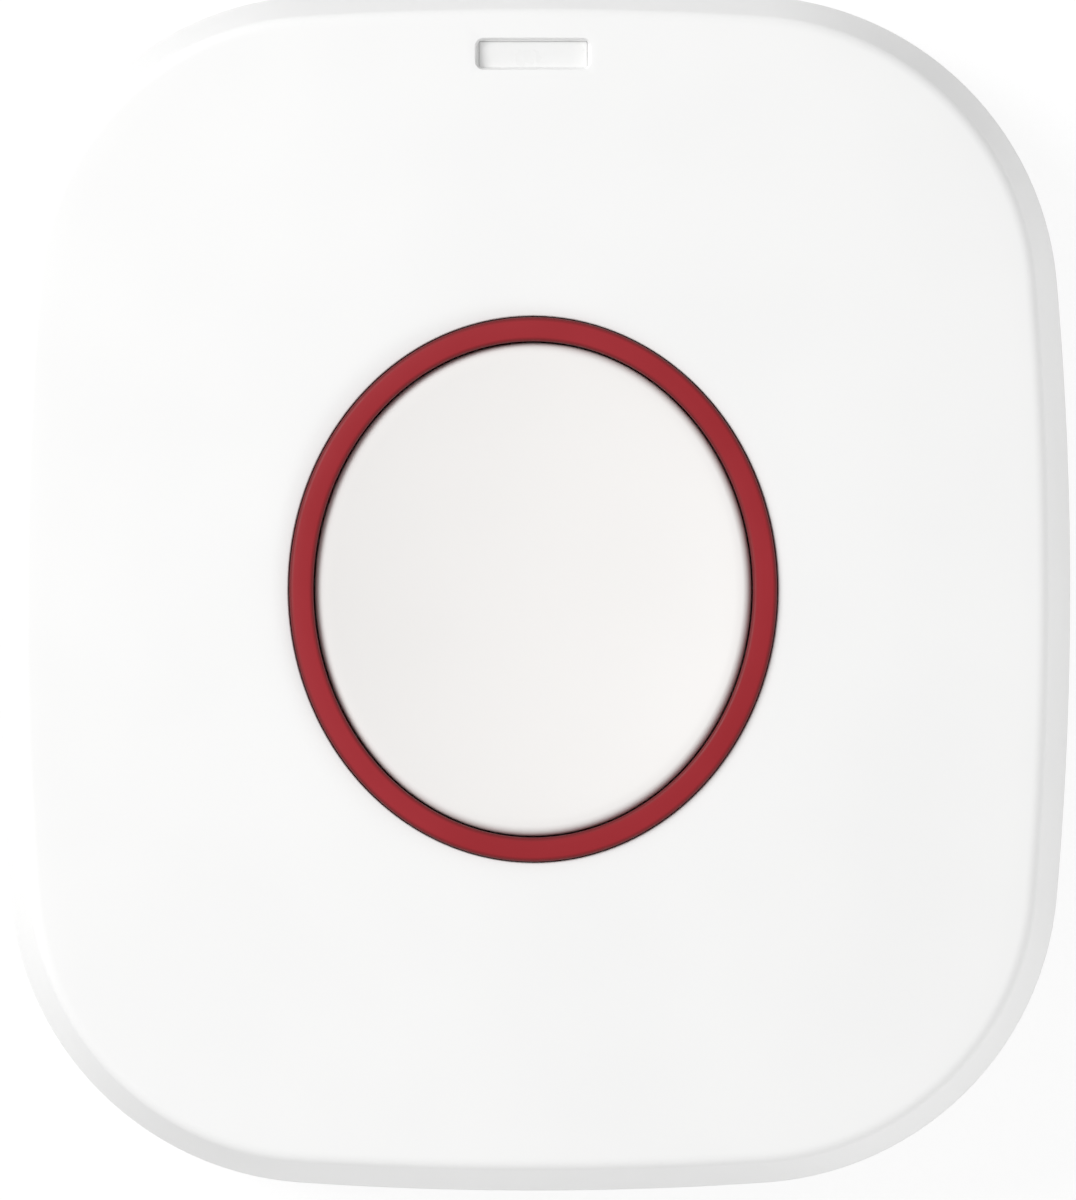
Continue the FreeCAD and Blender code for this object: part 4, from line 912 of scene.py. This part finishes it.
def coin_slot(base):
    """A slot with round ends and an eased mouth."""
    outline = rounded_slot(15.0 * MM, 1.9 * MM, 0.45 * MM, (0.0, 0.0))
    places = ((0.3, -0.2), (0.3, 0.0), (0.12, 0.04), (0.03, 0.12), (0.0, 0.28), (0.0, 1.0))
    return stepped(outline, *[(change, base + height * MM) for change, height in places])


# Screws: a head with a cross recess and a shank with a thread, stood at each of its places

def screw_tree(material):
    tree = Tree("threaded_screw")
    head, cap, core, length, pitch, cross, width = tree.sizes(
        "head_radius", "cap_height", "core_radius", "shank_length", "thread_pitch", "cross_reach", "cross_width")
    disc = tree.raised(tree.column(40, head, cap), tree.times(cap, 0.5))
    carved = tree.add("GeometryNodeMeshBoolean", {"Mesh 1": disc}, operation="DIFFERENCE", solver="EXACT")
    deep = tree.times(cap, 1.1)
    for size in ((cross, width, deep), (width, cross, deep)):
        tree.feed(carved.inputs["Mesh 2"], tree.add("GeometryNodeMeshCube", {"Size": tree.vector(*size)}))
    shank = tree.times(core, 0.76)
    straight = tree.times(length, 0.86)
    rod = tree.raised(tree.column(24, shank, straight), tree.math("ADD", cap, tree.times(straight, 0.5)))
    tip = tree.add("GeometryNodeMeshCone", {
        "Vertices": 24, "Radius Bottom": shank, "Radius Top": tree.times(core, 0.25),
        "Depth": tree.math("SUBTRACT", length, straight)}, fill_type="NGON")
    tip_up = tree.raised(tip, tree.math("ADD", cap, straight))
    turns = tree.math("DIVIDE", tree.times(straight, 0.94), pitch)
    ridge = tree.times(core, 0.14)
    middle = tree.times(core, 0.84)
    coil = tree.add("GeometryNodeCurveSpiral", {
        "Resolution": 20, "Rotations": turns, "Start Radius": middle, "End Radius": middle,
        "Height": tree.times(straight, 0.92)})
    edge = tree.add("GeometryNodeCurvePrimitiveCircle", {"Resolution": 4, "Radius": ridge})
    thread = tree.add("GeometryNodeCurveToMesh", {"Curve": coil, "Profile Curve": edge, "Fill Caps": True})
    thread_up = tree.raised(thread, tree.math("ADD", cap, ridge))
    tree.stood(tree.joined(carved, rod, tip_up, thread_up), material)
    return tree


def make_screws():
    tree = screw_tree(steel_zinc())
    names = ("head_radius", "cap_height", "core_radius", "shank_length", "thread_pitch", "cross_reach", "cross_width")
    kinds = (("case_screws", "case_screw_set", CASE_SCREWS, (1.9, 1.3, 0.95, 7.8, 0.9, 1.9, 0.45)),
             ("board_screws", "board_screw_set", BOARD_SCREWS, (1.5, 0.9, 0.7, 4.4, 0.6, 1.6, 0.4)))
    for node, name, places, measures in kinds:
        sizes = {key: measure * MM for key, measure in zip(names, measures)}
        piece = grown(name, tree, [(x, y, low(node).z) for x, y in places], **sizes)
        fitted(piece, steel_zinc, node, angle=40.0)


# Seal under the button: a clamped oval rim, a thin web with a roll in it, and a hat over the switch

SEAL_INNER = (12.325 * MM, 13.735 * MM)
SEAL_OUTER = (13.525 * MM, 14.935 * MM)
SEAL_WEB_START = 8.2 * MM
SEAL_ROLL = 0.2 * MM


def round_rows(*places):
    return oval_rows(*[((radius * MM, radius * MM), height) for radius, height in places])


def seal_web_rows(height):
    """The web from the hat out to the rim, with a soft roll half way."""
    rows = []
    for step in range(1, 8):
        share = step / 8
        roll = SEAL_ROLL * sin(HALF_TURN * share) ** 2
        row = []
        for bearing in BEARINGS:
            start = Vector((cos(bearing), sin(bearing))) * SEAL_WEB_START
            spot = start.lerp(oval_point(SEAL_INNER, -0.6 * MM, bearing), share)
            row.append(Vector((*spot, height + roll)))
        rows.append(row)
    return rows


def make_button_seal():
    base = low("button_seal").z
    web_low = base + 0.8 * MM
    web_high = web_low + 0.5 * MM
    top = high("button_seal").z
    room = top - 0.8 * MM
    rim_top = SEAL_RIM_TOP - 0.01 * MM
    rows = round_rows((1.5, top), (4.2, top), (4.5, top - 0.06 * MM), (4.66, top - 0.2 * MM), (4.7, top - 0.45 * MM),
                      (4.7, (top + web_high) / 2), (4.7, web_high + 0.25 * MM), (4.8, web_high + 0.06 * MM),
                      (5.0, web_high))
    rows += seal_web_rows(web_high)
    rows += [oval_row(SEAL_INNER, 0.0, web_high), oval_row(SEAL_INNER, 0.05 * MM, rim_top),
             oval_row(SEAL_OUTER, 0.0, rim_top), oval_row(SEAL_OUTER, 0.0, base),
             oval_row(SEAL_INNER, 0.0, base), oval_row(SEAL_INNER, 0.0, web_low)]
    rows += round_rows((8.2, web_low), (4.1, web_low), (4.1, (web_low + room) / 2), (4.1, room))
    blended(solid("seal_membrane", skin(rows)), silicone_grey, "button_seal",
            angle=40.0)


# Small blocks that repeat: chip leads, solder pads and the ends of capacitors

def block_tree(material):
    tree = Tree("small_blocks")
    size = tree.sizes("width", "length", "height")
    block = tree.add("GeometryNodeMeshCube", {"Size": tree.vector(*size)})
    tree.stood(tree.raised(block, tree.times(size[2], 0.5)), material)
    return tree


def blocks(name, finish, spots, size, edge, *nodes):
    width, length, height = size
    piece = grown(name, block_tree(finish()), spots, width=width * MM, length=length * MM, height=height * MM)
    if edge:
        rounded_edges(piece, edge * MM)
    fitted(piece, finish, *nodes)


def four_sides(middle, reach, count, pitch, height):
    """Spots along the left and right sides, and along the near and far sides, of a square chip."""
    upright = []
    across = []
    for place in range(count):
        shift = (place - (count - 1) / 2) * pitch
        for side in (-reach, reach):
            upright.append((middle[0] + side, middle[1] + shift, height))
            across.append((middle[0] + shift, middle[1] + side, height))
    return upright, across


def make_microcontroller():
    middle = centre_of("microcontroller")
    body = node_copy("microcontroller", "control_chip")
    rounded_edges(body, 0.09 * MM)
    dimple = (middle[0] - 1.75 * MM, middle[1] + 1.75 * MM)
    roof = high("microcontroller").z
    combined(body, "DIFFERENCE", [drum(dimple, 0.32 * MM, roof - 0.06 * MM, roof + MM, steps=28)])
    fitted(body, chip_black, "microcontroller")
    upright, across = four_sides(middle, 2.56 * MM, 8, 0.5 * MM, BOARD_TOP)
    blocks("chip_pads_side", tin_sheet, upright, (0.5, 0.26, 0.12), 0.03)
    blocks("chip_pads_end", tin_sheet, across, (0.26, 0.5, 0.12), 0.03)


def make_crystal():
    rise = high("crystal").z - BOARD_TOP
    can = rounded_slot(3.0 * MM, 2.3 * MM, 0.5 * MM, centre_of("crystal"))
    places = ((0.1, 0.0), (0.1, 0.25), (0.0, 0.26), (0.0, 0.6), (-0.04, 0.7), (-0.14, 0.75))
    body = stepped(can, *[(change, BOARD_TOP + height * rise / 0.75) for change, height in places])
    fitted(solid("crystal_can", body), tin_sheet, "crystal")


def make_capacitors():
    spots = []
    for place in range(3):
        for y in (23.2, -20.6):
            spots.append(((6.6 + 2.0 * place) * MM, y * MM, BOARD_TOP))
    ends = []
    for x, y, height in spots:
        ends += [(x, y - 0.62 * MM, height), (x, y + 0.62 * MM, height)]
    blocks("capacitor_bodies", ceramic_tan, spots, (0.76, 1.2, 0.78), 0.05, "ceramic_capacitors")
    blocks("capacitor_ends", tin_sheet, ends, (0.8, 0.36, 0.8), 0.08)


def make_reservoir():
    x, y = centre_of("reservoir_capacitor")
    eased_copy("reservoir_capacitor", "reservoir_body", 0.16, chip_black)
    ends = [(x - 3.06 * MM, y, BOARD_TOP), (x + 3.06 * MM, y, BOARD_TOP)]
    blocks("reservoir_ends", tin_sheet, ends, (0.14, 2.2, 1.3), 0.03)


def make_radio():
    corner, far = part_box("radio_module")
    middle = centre_of("radio_module")
    width = far.x - corner.x
    length = far.y - corner.y
    carrier_top = corner.z + 0.4 * MM
    carrier = solid("radio_carrier", brick(middle, width, length, corner.z, carrier_top))
    rounded_edges(carrier, 0.04 * MM)
    fitted(carrier, board_green)
    can = solid("radio_can", brick(middle, width - 0.5 * MM, length - 0.9 * MM, carrier_top, far.z))
    rounded_edges(can, 0.3 * MM, 3)
    vents = []
    for column in (-1, 0, 1):
        for row in range(-2, 3):
            spot = (middle[0] + column * 1.5 * MM, middle[1] + row * 1.5 * MM)
            vents.append(drum(spot, 0.28 * MM, far.z - 0.12 * MM, far.z + MM, steps=20))
    combined(can, "DIFFERENCE", vents)
    fitted(can, tin_sheet, "radio_module")
    pads = []
    for place in range(-4, 5):
        for x in (corner.x + 0.1 * MM, far.x - 0.1 * MM):
            pads.append((x, middle[1] + place * MM, corner.z))
    blocks("radio_pads", tin_sheet, pads, (0.24, 0.55, 0.42), 0.02)


def via_tree(material):
    tree = Tree("board_via_rings")
    radius, height = tree.sizes("radius", "height")
    tree.stood(tree.raised(tree.column(20, radius, height), tree.times(height, 0.5)), material)
    return tree


def make_board():
    fitted(node_copy("circuit_board", "board_sheet"), board_green, "circuit_board")
    vias = []
    for row in range(7):
        for column in range(4):
            vias.append(((16.0 + column * 1.1 - 0.35 * (row % 2)) * MM, (row * 1.9 - 5.7) * MM, BOARD_TOP))
    rings = grown("board_vias", via_tree(tin_sheet()), vias, radius=0.3 * MM, height=0.03 * MM)
    fitted(rings, tin_sheet)
    pads = [((-13.4 + place * 1.6) * MM, -23.4 * MM, BOARD_TOP) for place in range(5)]
    blocks("board_test_pads", tin_sheet, pads, (1.0, 1.6, 0.04), 0.0)


def make_switch():
    eased_copy("switch_body", "switch_base", 0.1, chip_black)
    eased_copy("switch_frame", "switch_cover", 0.04, tin_sheet)
    eased_copy("switch_plunger", "switch_key", 0.08, plunger_black, body="plunger")
    blended(node_copy("snap_dome", "contact_dome"), tin_sheet, "snap_dome")


def make_cell():
    bottom = low("coin_cell").z
    top = high("coin_cell").z
    outside = [(9.2, 0.0), (9.62, 0.05), (9.9, 0.2), (10.0, 0.5)]
    cap = [(10.0, 0.75), (9.93, 0.5), (9.75, 0.32), (9.45, 0.25), (8.62, 0.25), (8.55, 0.34), (8.42, 0.34),
           (8.36, 0.16), (8.2, 0.04), (7.9, 0.0)]
    profile = [(radius * MM, bottom + rise * MM) for radius, rise in outside]
    profile += [(radius * MM, top - drop * MM) for radius, drop in cap]
    fitted(solid("coin_cell_can", turned(profile)), cell_steel, "coin_cell", angle=35.0)


def make_contacts():
    eased_copy("negative_contact", "spring_finger", 0.04, tin_sheet)
    eased_copy("positive_contact", "side_clip", 0.04, tin_sheet)


def eased_shading():
    """For CAD nodes that stay: merges the loose corners and shades smooth up to an angle."""
    tree = Tree("eased_shading")
    limit = tree.size("limit", radians(30.0))
    merged = tree.add("GeometryNodeMergeByDistance", {"Geometry": tree.mesh, "Distance": MERGE_REACH})
    smooth = tree.add("GeometryNodeSetShadeSmooth", {"Geometry": merged, "Shade Smooth": True}, domain="FACE")
    angle = tree.add("GeometryNodeInputMeshEdgeAngle").outputs["Unsigned Angle"]
    sharp = tree.add("FunctionNodeCompare", {"A": angle, "B": limit}, data_type="FLOAT", operation="GREATER_THAN")
    edges = tree.add("GeometryNodeSetShadeSmooth", {"Geometry": smooth, "Selection": sharp, "Shade Smooth": False},
                     domain="EDGE")
    tree.feed(tree.outlet.inputs["Geometry"], edges)
    return tree.group


def dress_nodes():
    """CAD nodes whose shape is right keep it, and get their finish."""
    shading = eased_shading()
    for node, finish in (("antenna_loop", antenna_copper), ("door_seal", seal_black),
                         ("housing_gasket", silicone_grey)):
        piece = NODES[node]
        if not piece.material_slots:
            piece.data.materials.append(finish())
        for place in piece.material_slots:
            place.material = finish()
        piece.modifiers.new("shading", "NODES").node_group = shading


# Finishes

MADE = {}


def once(make):
    """Each finish is made once, under its function's name."""
    def ready():
        if make.__name__ not in MADE:
            finish = Finish(make.__name__)
            make(finish)
            MADE[make.__name__] = finish.material
        return MADE[make.__name__]
    ready.slot = make.__name__
    return ready


class Finish(Nodes):
    """A material whose patterns all lie on Object coordinates."""

    def __init__(self, name):
        self.material = bpy.data.materials.new(name)
        self.material.use_nodes = True
        super().__init__(self.material.node_tree)
        self.shader = self.add("ShaderNodeBsdfPrincipled")
        self.add("ShaderNodeOutputMaterial", {"Surface": self.shader})
        self.place = self.add("ShaderNodeTexCoord").outputs["Object"]

    def given(self, **values):
        """Feeds the shader's own sockets, by their names."""
        for name, value in values.items():
            self.feed(self.shader.inputs[name.replace("_", " ")], value)

    def pattern(self, kind, scale, place=None, **settings):
        return self.add(kind, {"Vector": place or self.place, "Scale": scale}, **settings)

    def stretched(self, scale):
        return self.pattern("ShaderNodeMapping", scale).outputs[0]

    def noise(self, scale, detail=2.0, place=None):
        node = self.pattern("ShaderNodeTexNoise", scale, place)
        self.feed(node.inputs["Detail"], detail)
        return node

    def bands(self, scale, direction):
        return self.pattern("ShaderNodeTexWave", scale, bands_direction=direction).outputs[1]

    def mixed(self, share, first, second):
        node = self.add("ShaderNodeMix", {"Factor": share, 6: first, 7: second}, data_type="RGBA")
        return node.outputs[2]

    def painted(self, share, first, second):
        self.given(Base_Color=self.mixed(share, first, second))

    def rough(self, pattern, first, last):
        self.given(Roughness=self.ranged(pattern, 0.3, 0.7, first, last))

    def bumped(self, height, distance, strength=0.6, under=None):
        node = self.add("ShaderNodeBump", {"Height": height, "Distance": distance * MM, "Strength": strength})
        if under is not None:
            self.feed(node.inputs["Normal"], under)
        self.given(Normal=node)
        return node


def tone(red, green, blue):
    """A colour as it is seen on a screen, from 0 to 255, as the linear colour that a shader takes."""
    linear = []
    for part in (red, green, blue):
        share = part / 255
        linear.append(share / 12.92 if share <= 0.04045 else ((share + 0.055) / 1.055) ** 2.4)
    return (*linear, 1.0)


def moulded(finish, colour, shade, roughness, grain, shine):
    """Moulded plastic: faint flow in the colour, a spark-eroded grain and slightly uneven gloss."""
    finish.given(Specular_IOR_Level=shine)
    finish.painted(finish.ranged(finish.noise(95.0), 0.35, 0.65), colour, shade)
    finish.rough(finish.noise(420.0, 3.0), roughness - 0.03, roughness + 0.04)
    wave = finish.bumped(finish.noise(60.0, 1.0), 0.02, 0.25)
    finish.bumped(finish.noise(7200.0, 3.0), grain, under=wave)


@once
def housing_white(finish):
    moulded(finish, (0.9, 0.9, 0.896, 1.0), (0.885, 0.885, 0.882, 1.0), 0.56, 0.004, 0.15)


@once
def button_white(finish):
    moulded(finish, (0.864, 0.85, 0.837, 1.0), (0.85, 0.836, 0.823, 1.0), 0.5, 0.003, 0.28)


@once
def ring_red(finish):
    """Deep red satin plastic, with painted shade that darkens the band where it rolls over at its two edges."""
    finish.given(Specular_IOR_Level=0.3)
    red = finish.mixed(finish.ranged(finish.noise(160.0), 0.35, 0.65), tone(148, 24, 34), tone(154, 30, 40))
    share = finish.add("ShaderNodeAttribute", attribute_name=EDGE_SHADE_MARK).outputs["Fac"]
    # Painted shade: towards the rolled edges the red turns to a darker red, tone(104, 14, 22), in place of the shade
    # beside the ring.
    finish.painted(finish.ranged(share, 0.62, 0.92), red, tone(104, 14, 22))
    finish.rough(finish.noise(900.0, 3.0), 0.44, 0.54)
    finish.bumped(finish.noise(6500.0, 3.0), 0.003)


@once
def window_milky(finish):
    finish.given(IOR=1.49)
    finish.painted(finish.noise(500.0), (0.84, 0.845, 0.84, 1.0), (0.87, 0.87, 0.865, 1.0))
    finish.rough(finish.noise(1200.0), 0.26, 0.34)


@once
def silicone_grey(finish):
    finish.given(Subsurface_Weight=0.15, Subsurface_Scale=0.3 * MM)
    finish.painted(finish.noise(300.0), tone(176, 178, 180), tone(188, 190, 191))
    finish.rough(finish.noise(2000.0), 0.55, 0.68)
    finish.bumped(finish.noise(5200.0), 0.004, 0.7)


@once
def seal_black(finish):
    finish.painted(finish.noise(400.0), tone(34, 34, 36), tone(46, 46, 47))
    finish.rough(finish.noise(2500.0), 0.55, 0.7)
    finish.bumped(finish.noise(6000.0), 0.004, 0.7)


@once
def board_green(finish):
    """Solder resist over bundles of copper runs, which turn from patch to patch, on a faint cloth weave."""
    patch = finish.pattern("ShaderNodeTexVoronoi", 150.0, distance="CHEBYCHEV").outputs["Color"]
    pick = finish.add("ShaderNodeSeparateColor", {"Color": patch}).outputs
    runs = finish.mixed(finish.ranged(pick["Red"], 0.49, 0.51), finish.bands(350.0, "X"), finish.bands(350.0, "Y"))
    there = finish.ranged(pick["Green"], 0.38, 0.4)
    drawn = finish.ranged(runs, 0.82, 0.9)
    copper = finish.math("MULTIPLY", drawn, there)
    weave = finish.ranged(finish.bands(900.0, "DIAGONAL"), 0.0, 1.0, 0.0, 0.3)
    finish.painted(copper, finish.mixed(weave, tone(16, 80, 48), tone(26, 96, 58)), tone(52, 128, 80))
    finish.rough(finish.noise(700.0), 0.28, 0.36)
    finish.bumped(copper, 0.018, 0.8)


@once
def chip_black(finish):
    speck = finish.noise(5200.0, 3.0)
    finish.painted(finish.ranged(speck, 0.4, 0.7), tone(38, 38, 40), tone(58, 58, 60))
    finish.rough(finish.noise(900.0), 0.5, 0.62)
    finish.bumped(speck, 0.006, 0.8)


@once
def plunger_black(finish):
    finish.painted(finish.noise(700.0), tone(28, 28, 30), tone(40, 40, 41))
    finish.rough(finish.noise(1500.0), 0.36, 0.46)
    finish.bumped(finish.noise(4200.0), 0.003)


@once
def ceramic_tan(finish):
    grain = finish.noise(3800.0, 3.0)
    finish.painted(grain, tone(168, 140, 106), tone(188, 160, 124))
    finish.rough(finish.noise(1500.0), 0.4, 0.52)
    finish.bumped(grain, 0.004)


@once
def tin_sheet(finish):
    """Tinned sheet: rolling lines one way and a soft mottle."""
    finish.given(Metallic=1.0)
    rolled = finish.noise(900.0, 3.0, finish.stretched((1.0, 14.0, 14.0)))
    finish.painted(finish.noise(650.0, 3.0), tone(196, 198, 199), tone(214, 215, 214))
    finish.rough(rolled, 0.24, 0.38)
    finish.bumped(rolled, 0.003)


@once
def steel_zinc(finish):
    finish.given(Metallic=1.0)
    spangle = finish.pattern("ShaderNodeTexVoronoi", 2200.0).outputs["Distance"]
    finish.painted(spangle, tone(176, 180, 186), tone(204, 206, 208))
    finish.rough(finish.noise(1300.0, 3.0), 0.26, 0.4)
    finish.bumped(finish.noise(5200.0), 0.003)


@once
def cell_steel(finish):
    """Nickel-plated can, lightly turned, with faint handling marks."""
    finish.given(Metallic=1.0)
    rings = finish.pattern("ShaderNodeTexWave", 1400.0, wave_type="RINGS", rings_direction="Z")
    finish.feed(rings.inputs["Distortion"], 0.4)
    marks = finish.noise(1600.0, 4.0, finish.stretched((1.0, 9.0, 1.0)))
    finish.painted(marks, tone(202, 200, 194), tone(220, 218, 212))
    finish.rough(marks, 0.2, 0.34)
    finish.bumped(rings.outputs[1], 0.0015, 0.5)


@once
def antenna_copper(finish):
    finish.given(Metallic=1.0)
    bloom = finish.noise(1100.0, 3.0)
    finish.painted(bloom, tone(206, 128, 88), tone(186, 108, 74))
    finish.rough(bloom, 0.26, 0.42)
    finish.bumped(finish.noise(4200.0), 0.003)


# Floor, light and camera. A light level of 1 shows a white surface that faces the lamp as white.

FLOOR_LEVEL = -0.02 * MM
FLOOR_SHADE = 0.78
FLOOR_SEEN_SHADE = 0.2
FLOOR_GLOW = 0.83
SKY_LEVEL = 0.57


def background_rays(nodes):
    """1 for what the camera sees, also in metal and through glass, and 0 for the light on the object."""
    rays = nodes.add("ShaderNodeLightPath").outputs
    glossy = nodes.math("MAXIMUM", rays["Is Camera Ray"], rays["Is Glossy Ray"])
    return nodes.math("MAXIMUM", glossy, rays["Is Transmission Ray"])


@once
def floor_pale(finish):
    """A plain pale floor that shows white round the object and still takes its shadow."""
    seen = background_rays(finish)
    finish.given(Base_Color=finish.ranged(seen, 0.0, 1.0, FLOOR_SHADE, FLOOR_SEEN_SHADE), Roughness=1.0,
                 Specular_IOR_Level=0.0, Emission_Color=(1.0, 1.0, 1.0, 1.0),
                 Emission_Strength=finish.ranged(seen, 0.0, 1.0, 0.0, FLOOR_GLOW))


def make_floor():
    half = 1.2
    mesh = bpy.data.meshes.new("floor")
    corners = [(-half, -half), (half, -half), (half, half), (-half, half)]
    mesh.from_pydata([(x, y, FLOOR_LEVEL) for x, y in corners], [], [(0, 1, 2, 3)])
    mesh.materials.append(floor_pale())
    linked("floor", mesh)


def make_world():
    world = bpy.data.worlds.new("studio")
    world.use_nodes = True
    nodes = Nodes(world.node_tree)
    strength = nodes.ranged(background_rays(nodes), 0.0, 1.0, SKY_LEVEL, 1.0)
    sky = nodes.add("ShaderNodeBackground", {"Color": (1.0, 1.0, 1.0, 1.0), "Strength": strength})
    nodes.add("ShaderNodeOutputWorld", {"Surface": sky})
    bpy.context.scene.world = world


def soft_lamp(name, level, bearing, elevation, distance, size, shines=True):
    """A round soft lamp that points at the object, whose power gives a light level there."""
    light = bpy.data.lights.new(name, "AREA")
    light.shape = "DISK"
    light.size = size
    light.energy = level * pi ** 2 * (distance ** 2 + (size / 2) ** 2)
    lamp = linked(name, light)
    rise = radians(elevation)
    turn = radians(bearing)
    towards = Vector((cos(rise) * cos(turn), cos(rise) * sin(turn), sin(rise)))
    lamp.location = towards * distance
    lamp.rotation_euler = towards.to_track_quat("Z", "Y").to_euler()
    lamp.visible_camera = False
    lamp.visible_glossy = shines


def make_lamps():
    soft_lamp("key", level=0.6, bearing=156.0, elevation=45.0, distance=0.9, size=0.5)
    soft_lamp("fill", level=0.35, bearing=-38.0, elevation=6.0, distance=0.9, size=0.6, shines=False)


LENS = 1500.0
SENSOR = 36.0
VIEW_HEIGHT = 59.88 * MM
VIEW_CENTRE = (0.24 * MM, -0.53 * MM)


def make_camera():
    """Straight down on the face, with the whole outline in the frame."""
    data = bpy.data.cameras.new("camera")
    data.lens = LENS
    data.sensor_width = SENSOR
    data.clip_end = 20.0
    camera = linked("camera", data)
    camera.location = (*VIEW_CENTRE, SEAM_HEIGHT + VIEW_HEIGHT * LENS / SENSOR)
    bpy.context.scene.camera = camera


def main():
    for make in (make_camera, make_world, make_lamps, make_floor, make_front_cover, make_rear_cover,
                 make_push_button, make_trim_ring, make_light_pipe, make_status_led, make_battery_door,
                 make_screws, make_button_seal, make_microcontroller, make_crystal, make_capacitors,
                 make_reservoir, make_radio, make_board, make_switch, make_cell, make_contacts, dress_nodes):
        make()
    bpy.context.scene.view_settings.view_transform = "Standard"


main()
